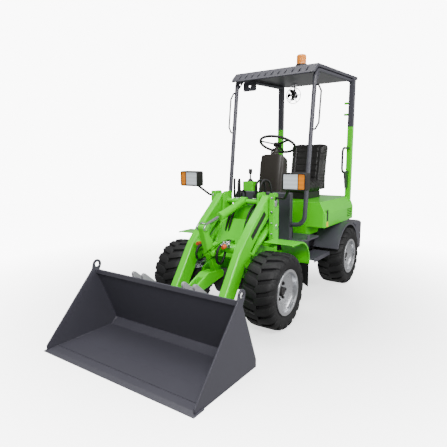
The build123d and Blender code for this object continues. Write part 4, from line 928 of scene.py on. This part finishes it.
@dataclass
class Canopy:
    """Small fittings under the roof and on the posts."""

    stub_heights: tuple[float, float] = (1.952, 2.082)
    stub_place: tuple[float, float] = (0.410, 1.486)
    stub_size: Point = (0.066, 0.030, 0.024)
    plate: Point = (-0.312, 0.452, 2.205)
    plate_size: Point = (0.160, 0.004, 0.100)
    plate_hole: float = 0.011
    fan: Point = (-0.240, 1.348, 2.215)
    blades: int = 4
    blade_reaches: tuple[float, ...] = (0.014, 0.030, 0.048, 0.066)
    blade_steps: int = 6
    blade_twist: float = 0.022
    blade_thickness: float = 0.003

    def build(self) -> None:
        """Fit the post stubs, the plate under the visor and the fan's blades."""
        stubs = bmesh.new()
        for z in self.stub_heights:
            Workshop.block(stubs, (*self.stub_place, z), self.stub_size)
        Workshop.piece("post_stubs", stubs, GREEN, Body.REAR)
        plate = bmesh.new()
        Workshop.holed(plate, Vector(self.plate), self.plate_size, self.plate_hole)
        Workshop.piece("visor_plate", plate, CHARCOAL, Body.REAR)
        self.vanes()

    def vanes(self) -> None:
        """Make the fan's broad twisted blades round their hub."""
        mesh = bmesh.new()
        centre = Vector(self.fan)
        for count in range(self.blades):
            rows = []
            for reach in self.blade_reaches:
                row = []
                for step in range(self.blade_steps + 1):
                    share = step / self.blade_steps - 0.5
                    angle = 2 * pi * count / self.blades + share * (0.9 + 5.0 * reach)
                    spot = (reach * cos(angle), -self.blade_twist * share, reach * sin(angle))
                    row.append(mesh.verts.new(centre + Vector(spot)))
                rows.append(row)
            Workshop.skin(mesh, rows, False)
        thick = bmesh.ops.extrude_face_region(mesh, geom=mesh.faces[:])
        moved = [item for item in thick["geom"] if isinstance(item, Vert)]
        bmesh.ops.translate(mesh, vec=(0.0, self.blade_thickness, 0.0), verts=moved)
        bmesh.ops.recalc_face_normals(mesh, faces=mesh.faces)
        Workshop.stud(mesh, Head.DISC, centre - AHEAD * 0.012, AHEAD, 0.018, 0.026)
        Workshop.piece("fan_vanes", mesh, PLASTIC, Body.FAN, "fan_blades", smooth=50.0)


@dataclass
class BucketTrim:
    """Doubled floor plate at the bucket's lip."""

    half: float = 0.706
    span: tuple[float, float] = (-1.74, -1.585)
    sink: float = -0.001
    rise: float = 0.003
    above: float = 0.3
    """Height from which the floor is looked for."""

    def build(self) -> None:
        """Lay the plate on the bucket's floor, wherever the solid has it."""
        bucket = Workshop.copied("bucket")
        tree = BVHTree.FromBMesh(bucket)
        bucket.free()
        mesh = bmesh.new()
        rows = []
        for y in self.span:
            floor = tree.ray_cast(Vector((0.0, y, self.above)), -UP)[0].z
            edges = ((-self.half, self.sink), (self.half, self.sink), (self.half, self.rise),
                     (-self.half, self.rise))
            rows.append([mesh.verts.new((x, y, floor + lift)) for x, lift in edges])
        Workshop.skin(mesh, rows, True)
        mesh.faces.new(rows[0])
        mesh.faces.new(rows[1])
        bmesh.ops.recalc_face_normals(mesh, faces=mesh.faces)
        Workshop.piece("floor_doubler", mesh, CHARCOAL, Body.BUCKET)


@dataclass
class Lamps:
    """Black frames round the lenses of the work lamps."""

    across: tuple[float, float] = (0.460, 0.680)
    depth: tuple[float, float] = (-0.288, -0.268)
    height: tuple[float, float] = (1.170, 1.320)
    band: float = 0.011
    corner: float = 0.018
    corner_steps: int = 6
    ease: tuple[float, float] = (0.003, 0.004)
    """Inset and depth of the eased front edge."""
    bar: float = 0.610
    bar_width: float = 0.005

    def loop(self, inset: float, radius: float) -> list[tuple[float, float]]:
        """Points of a rounded rectangle.

        Args:
            inset: How far it lies inside the lamp's outline.
            radius: Radius of its corners.

        Returns:
            Its points as x and z.
        """
        left, right = self.across[0] + inset, self.across[1] - inset
        low, high = self.height[0] + inset, self.height[1] - inset
        middles = ((right - radius, high - radius), (left + radius, high - radius),
                   (left + radius, low + radius), (right - radius, low + radius))
        points = []
        for quarter, (x, z) in enumerate(middles):
            for step in range(self.corner_steps + 1):
                angle = (quarter + step / self.corner_steps) * pi / 2
                points.append((x + radius * cos(angle), z + radius * sin(angle)))
        return points

    def build(self) -> None:
        """Frame both lamps and part the lens from the flasher."""
        mesh = bmesh.new()
        front, back = self.depth
        outer, inner = self.corner, self.corner / 2
        inset, deep = self.ease
        rims = ((back, 0.0, outer), (front + deep, 0.0, outer), (front, inset, outer),
                (front, self.band, inner), (back, self.band, inner))
        tall = self.height[1] - self.height[0] - 2 * self.band
        for side in SIDES:
            loops = [[mesh.verts.new((side * x, y, z)) for x, z in self.loop(within, radius)]
                     for y, within, radius in rims]
            Workshop.skin(mesh, loops, True)
            Workshop.block(mesh, (side * self.bar, (front + back) / 2, sum(self.height) / 2),
                           (self.bar_width, back - front, tall))
        bmesh.ops.recalc_face_normals(mesh, faces=mesh.faces)
        Workshop.piece("lamp_frames", mesh, PLASTIC, Body.FRONT)


@dataclass
class Hydraulics:
    """Hoses and caps on the tower and on the arms' cross tube."""

    STANDING: ClassVar[Sequence[Point]] = (
        (0.0, -0.245, 0.60), (0.0, -0.285, 0.66), (0.0, -0.300, 0.76), (0.004, -0.232, 0.92),
        (0.004, -0.150, 0.985), (0.0, -0.112, 0.99))
    """Shift from the hose's own x, y and z, from behind the sloped plate up to the bulkhead."""
    ARCHED: ClassVar[Sequence[Point]] = (
        (1.0, -0.104, 0.998), (1.0, -0.104, 1.09), (1.0, -0.110, 1.19), (1.2, -0.06, 1.255),
        (1.5, 0.0, 1.20), (1.5, 0.0, 1.02))
    """Share of the hose's own x, y and z, from the bulkhead over and down behind it."""
    LOOPED: ClassVar[Sequence[Sequence[Point]]] = (
        ((0.115, -0.712, 0.715), (0.113, -0.755, 0.700), (0.105, -0.765, 0.60),
         (0.098, -0.70, 0.545), (0.092, -0.63, 0.585), (0.092, -0.610, 0.645)),
        ((-0.120, -0.634, 0.690), (-0.122, -0.70, 0.700), (-0.125, -0.752, 0.62),
         (-0.128, -0.70, 0.545), (-0.130, -0.63, 0.585), (-0.130, -0.610, 0.645)))

    hoses: Hoses = field(default_factory=Hoses)
    standing_x: tuple[float, ...] = (-0.118, -0.085, 0.085, 0.118)
    arched_x: tuple[float, ...] = (-0.142, -0.098, 0.098, 0.142)
    nut_x: tuple[float, ...] = (-0.142, -0.120, -0.098, -0.075, 0.075, 0.098, 0.120, 0.142)
    collar_x: tuple[float, ...] = (0.115, 0.155)

    def build(self) -> None:
        """Lay the hoses and fit the caps."""
        standing = [[(x + shift, y, z) for shift, y, z in self.STANDING] for x in self.standing_x]
        self.hoses.run("standing_hoses", standing, Body.FRONT)
        arched = [[(x * share, y, z) for share, y, z in self.ARCHED] for x in self.arched_x]
        self.hoses.run("arched_hoses", arched, Body.FRONT)
        self.hoses.run("arm_hoses", self.LOOPED, Body.ARM)
        self.caps()

    def caps(self) -> None:
        """Fit dust caps on the couplers, and bright collars and nuts under the hoses."""
        way = Vector((0.0, -0.051, -0.012)).normalized()
        ahead = Vector((0, -1, 0.15)).normalized()
        caps = bmesh.new()
        Workshop.stud(caps, Head.DISC, Vector((0.155, -0.706, 0.7165)), way, 0.0175, 0.034)
        Workshop.stud(caps, Head.DISC, Vector((-0.165, -0.625, 0.690)), ahead, 0.019, 0.05)
        Workshop.piece("dust_caps", caps, CAP, Body.ARM)
        collars = bmesh.new()
        for x in self.collar_x:
            Workshop.stud(collars, Head.HEXAGON, Vector((x, -0.672, 0.724)), way, 0.0165, 0.016)
        Workshop.piece("coupler_collars", collars, CHROME, Body.ARM)
        nuts = bmesh.new()
        for x in self.nut_x:
            Workshop.stud(nuts, Head.HEXAGON, Vector((x, -0.104, 1.050)), UP, 0.0165, 0.018)
        Workshop.piece("hose_nuts", nuts, CHROME, Body.FRONT)


@dataclass
class Hardware:
    """Bolt heads, pin caps and blank labels."""

    bolt_heights: tuple[float, ...] = (0.76, 0.86, 0.96, 1.09)
    bolt_x: float = 0.326
    bolt_y: float = -0.212
    label_x: float = 0.5203
    label_y: float = 0.672
    label_thickness: float = 0.0016
    stripe: Point = (0.2928, -0.385, 0.862)
    stripe_size: Point = (0.0012, 0.30, 0.052)
    stripe_lean: float = 40.0

    def build(self) -> None:
        """Fit the small hardware on each body."""
        bolts = bmesh.new()
        caps = bmesh.new()
        for side in SIDES:
            out = Vector((side, 0, 0))
            for z in self.bolt_heights:
                spot = Vector((side * self.bolt_x, self.bolt_y, z))
                Workshop.stud(bolts, Head.HEXAGON, spot, AHEAD, 0.009, 0.009)
            Workshop.stud(caps, Head.DISC, Vector((side * 0.338, -0.162, 1.040)), out, 0.034, 0.009)
            Workshop.stud(caps, Head.DISC, Vector((side * 0.328, -0.117, 0.820)), out, 0.026, 0.008)
        Workshop.piece("tower_bolts", bolts, CHROME, Body.FRONT)
        Workshop.piece("tower_pin_caps", caps, CHROME, Body.FRONT)
        self.label("label_black", PLASTIC, 0.845, (0.040, 0.120))
        self.label("label_yellow", LABEL, 0.752, (0.050, 0.050))
        stripes = bmesh.new()
        for side in SIDES:
            middle = (side * self.stripe[0], *self.stripe[1:])
            Workshop.block(stripes, middle, self.stripe_size, self.stripe_lean)
        Workshop.piece("arm_stripes", stripes, PLASTIC, Body.ARM)

    def label(self, name: str, finish: Finish, z: float, size: tuple[float, float]) -> None:
        """Lay one blank label on the shell's left side.

        Args:
            name: The piece's name.
            finish: Its surface.
            z: Height of its middle.
            size: Its length and height.
        """
        mesh = bmesh.new()
        Workshop.block(mesh, (self.label_x, self.label_y, z), (self.label_thickness, *size))
        Workshop.piece(name, mesh, finish, Body.REAR)


@dataclass
class Studio:
    """Floor, lights and the camera at the photograph's angle."""

    LIGHTS: ClassVar[Sequence[tuple[str, Point, Point, float, float]]] = (
        ("key", (3.2, -4.4, 4.6), (0.0, 0.0, 0.9), 2.2, 460.0),
        ("fill", (5.0, 1.0, 2.6), (0.0, 0.2, 0.9), 2.6, 190.0),
        ("top", (-0.6, -0.6, 6.5), (0.0, 0.0, 0.5), 3.6, 300.0))
    """Name, place, target, size and power of each lamp."""

    eye: Point = (2.071, -3.490, 1.439)
    forward: Point = (-0.563, 0.812, -0.155)
    roll: float = -0.17
    sensor: float = 36.0
    focal_share: float = 412.22 / 447
    sight: float = 200.0
    reach: float = 30.0
    wall: float = 12.0
    wall_steps: int = 64
    floor_glow: float = 9.0
    backdrop_glow: float = 9.0
    world_glow: float = 0.5

    def camera(self) -> None:
        """Place the camera."""
        data = bpy.data.cameras.new("camera")
        data.sensor_width = self.sensor
        data.lens = self.sensor * self.focal_share
        data.clip_end = self.sight
        made = bpy.data.objects.new("camera", data)
        turn = Vector(self.forward).to_track_quat("-Z", "Y").to_matrix().to_4x4()
        roll = Matrix.Rotation(radians(self.roll), 4, "Z")
        made.matrix_world = Matrix.Translation(self.eye) @ turn @ roll
        bpy.context.scene.collection.objects.link(made)
        bpy.context.scene.camera = made

    @staticmethod
    def sheet(name: str, quads: Sequence[Sequence[Point]], shader: Shader) -> bpy.types.Object:
        """Stretch one sheet of the studio, which casts no colour on the machine.

        Args:
            name: The sheet's name.
            quads: Corners of each flat strip in order.
            shader: Its surface.

        Returns:
            The sheet.
        """
        mesh = bmesh.new()
        for corners in quads:
            mesh.faces.new([mesh.verts.new(corner) for corner in corners])
        data = bpy.data.meshes.new(name)
        mesh.to_mesh(data)
        mesh.free()
        made = bpy.data.objects.new(name, data)
        bpy.context.scene.collection.objects.link(made)
        data.materials.append(shader.material)
        made.visible_diffuse = False
        made.visible_glossy = False
        return made

    def floor(self) -> None:
        """Lay the pale floor, whose glow fades near the machine into painted shade, and stand the
        wall round it.
        """
        pale = Shader("floor_pale")
        distance = pale.node("ShaderNodeVectorMath", {"operation": "LENGTH"}, {0: pale.place},
                             "Value")
        # Emission is 0.16 of full within a metre of the middle and full beyond four metres: the
        # grey floor near the machine is painted shade.
        pale.set(Base_Color=(0.88, 0.88, 0.885, 1.0), Roughness=0.2 + pale.noise(3.0) * 0.06,
                 Emission_Color=pale.ramp(distance * 0.1, (0.1, 0.16), (0.4, 1.0)),
                 Emission_Strength=self.floor_glow, Specular_IOR_Level=0.5)
        end = self.reach
        ground = ((-end, -end, 0), (end, -end, 0), (end, end, 0), (-end, end, 0))
        self.sheet("floor", [ground], pale)
        white = Shader("backdrop_white")
        white.set(Base_Color=(0.9, 0.9, 0.9, 1.0), Roughness=0.8 + white.noise(2.0) * 0.05,
                  Emission_Color=(1.0, 1.0, 1.0, 1.0), Emission_Strength=self.backdrop_glow)
        angles = [2 * pi * step / self.wall_steps for step in range(self.wall_steps + 1)]
        ring = [(self.wall * cos(angle), self.wall * sin(angle)) for angle in angles]
        strips = [((*near, 0), (*far, 0), (*far, self.wall), (*near, self.wall))
                  for near, far in zip(ring, ring[1:])]
        self.sheet("backdrop", strips, white).visible_shadow = False

    def lights(self) -> None:
        """Hang the soft lamps and set the pale surroundings."""
        world = bpy.data.worlds.new("studio")
        bpy.context.scene.world = world
        world.use_nodes = True
        sky = world.node_tree.nodes["Background"].inputs
        sky["Color"].default_value = (1.0, 1.0, 1.0, 1.0)
        sky["Strength"].default_value = self.world_glow
        for name, place, target, size, power in self.LIGHTS:
            data = bpy.data.lights.new(name, "AREA")
            data.energy = power
            data.size = size
            made = bpy.data.objects.new(name, data)
            made.location = place
            aim = Vector(target) - Vector(place)
            made.rotation_euler = aim.to_track_quat("-Z", "Y").to_euler()
            bpy.context.scene.collection.objects.link(made)

    def build(self) -> None:
        """Set up the studio."""
        self.floor()
        self.lights()
        self.camera()


def main() -> None:
    """Build the studio and every sub-assembly."""
    logging.basicConfig(level=logging.INFO, format="%(name)s %(message)s")
    Studio().build()
    Dressing(widths={"lift_arm": 0.011, "tilt_lever": 0.006, "tilt_link": 0.006,
                     "front_chassis": 0.003, "bucket": 0.003, "roof_panel": 0.004,
                     "lever_console": 0.004, "counterweight": 0.006},
             made={"seat_back", "seat_cushion", "steering_column", "fan_blades",
                   *(f"tyre_{corner.label}" for corner in Corner)}).build()
    for corner in Corner:
        Tyre(corner).build()
    for assembly in (Seat(), Column(), Canopy(), BucketTrim(), Lamps(), Hydraulics(), Hardware()):
        assembly.build()


if __name__ == "__main__":
    main()
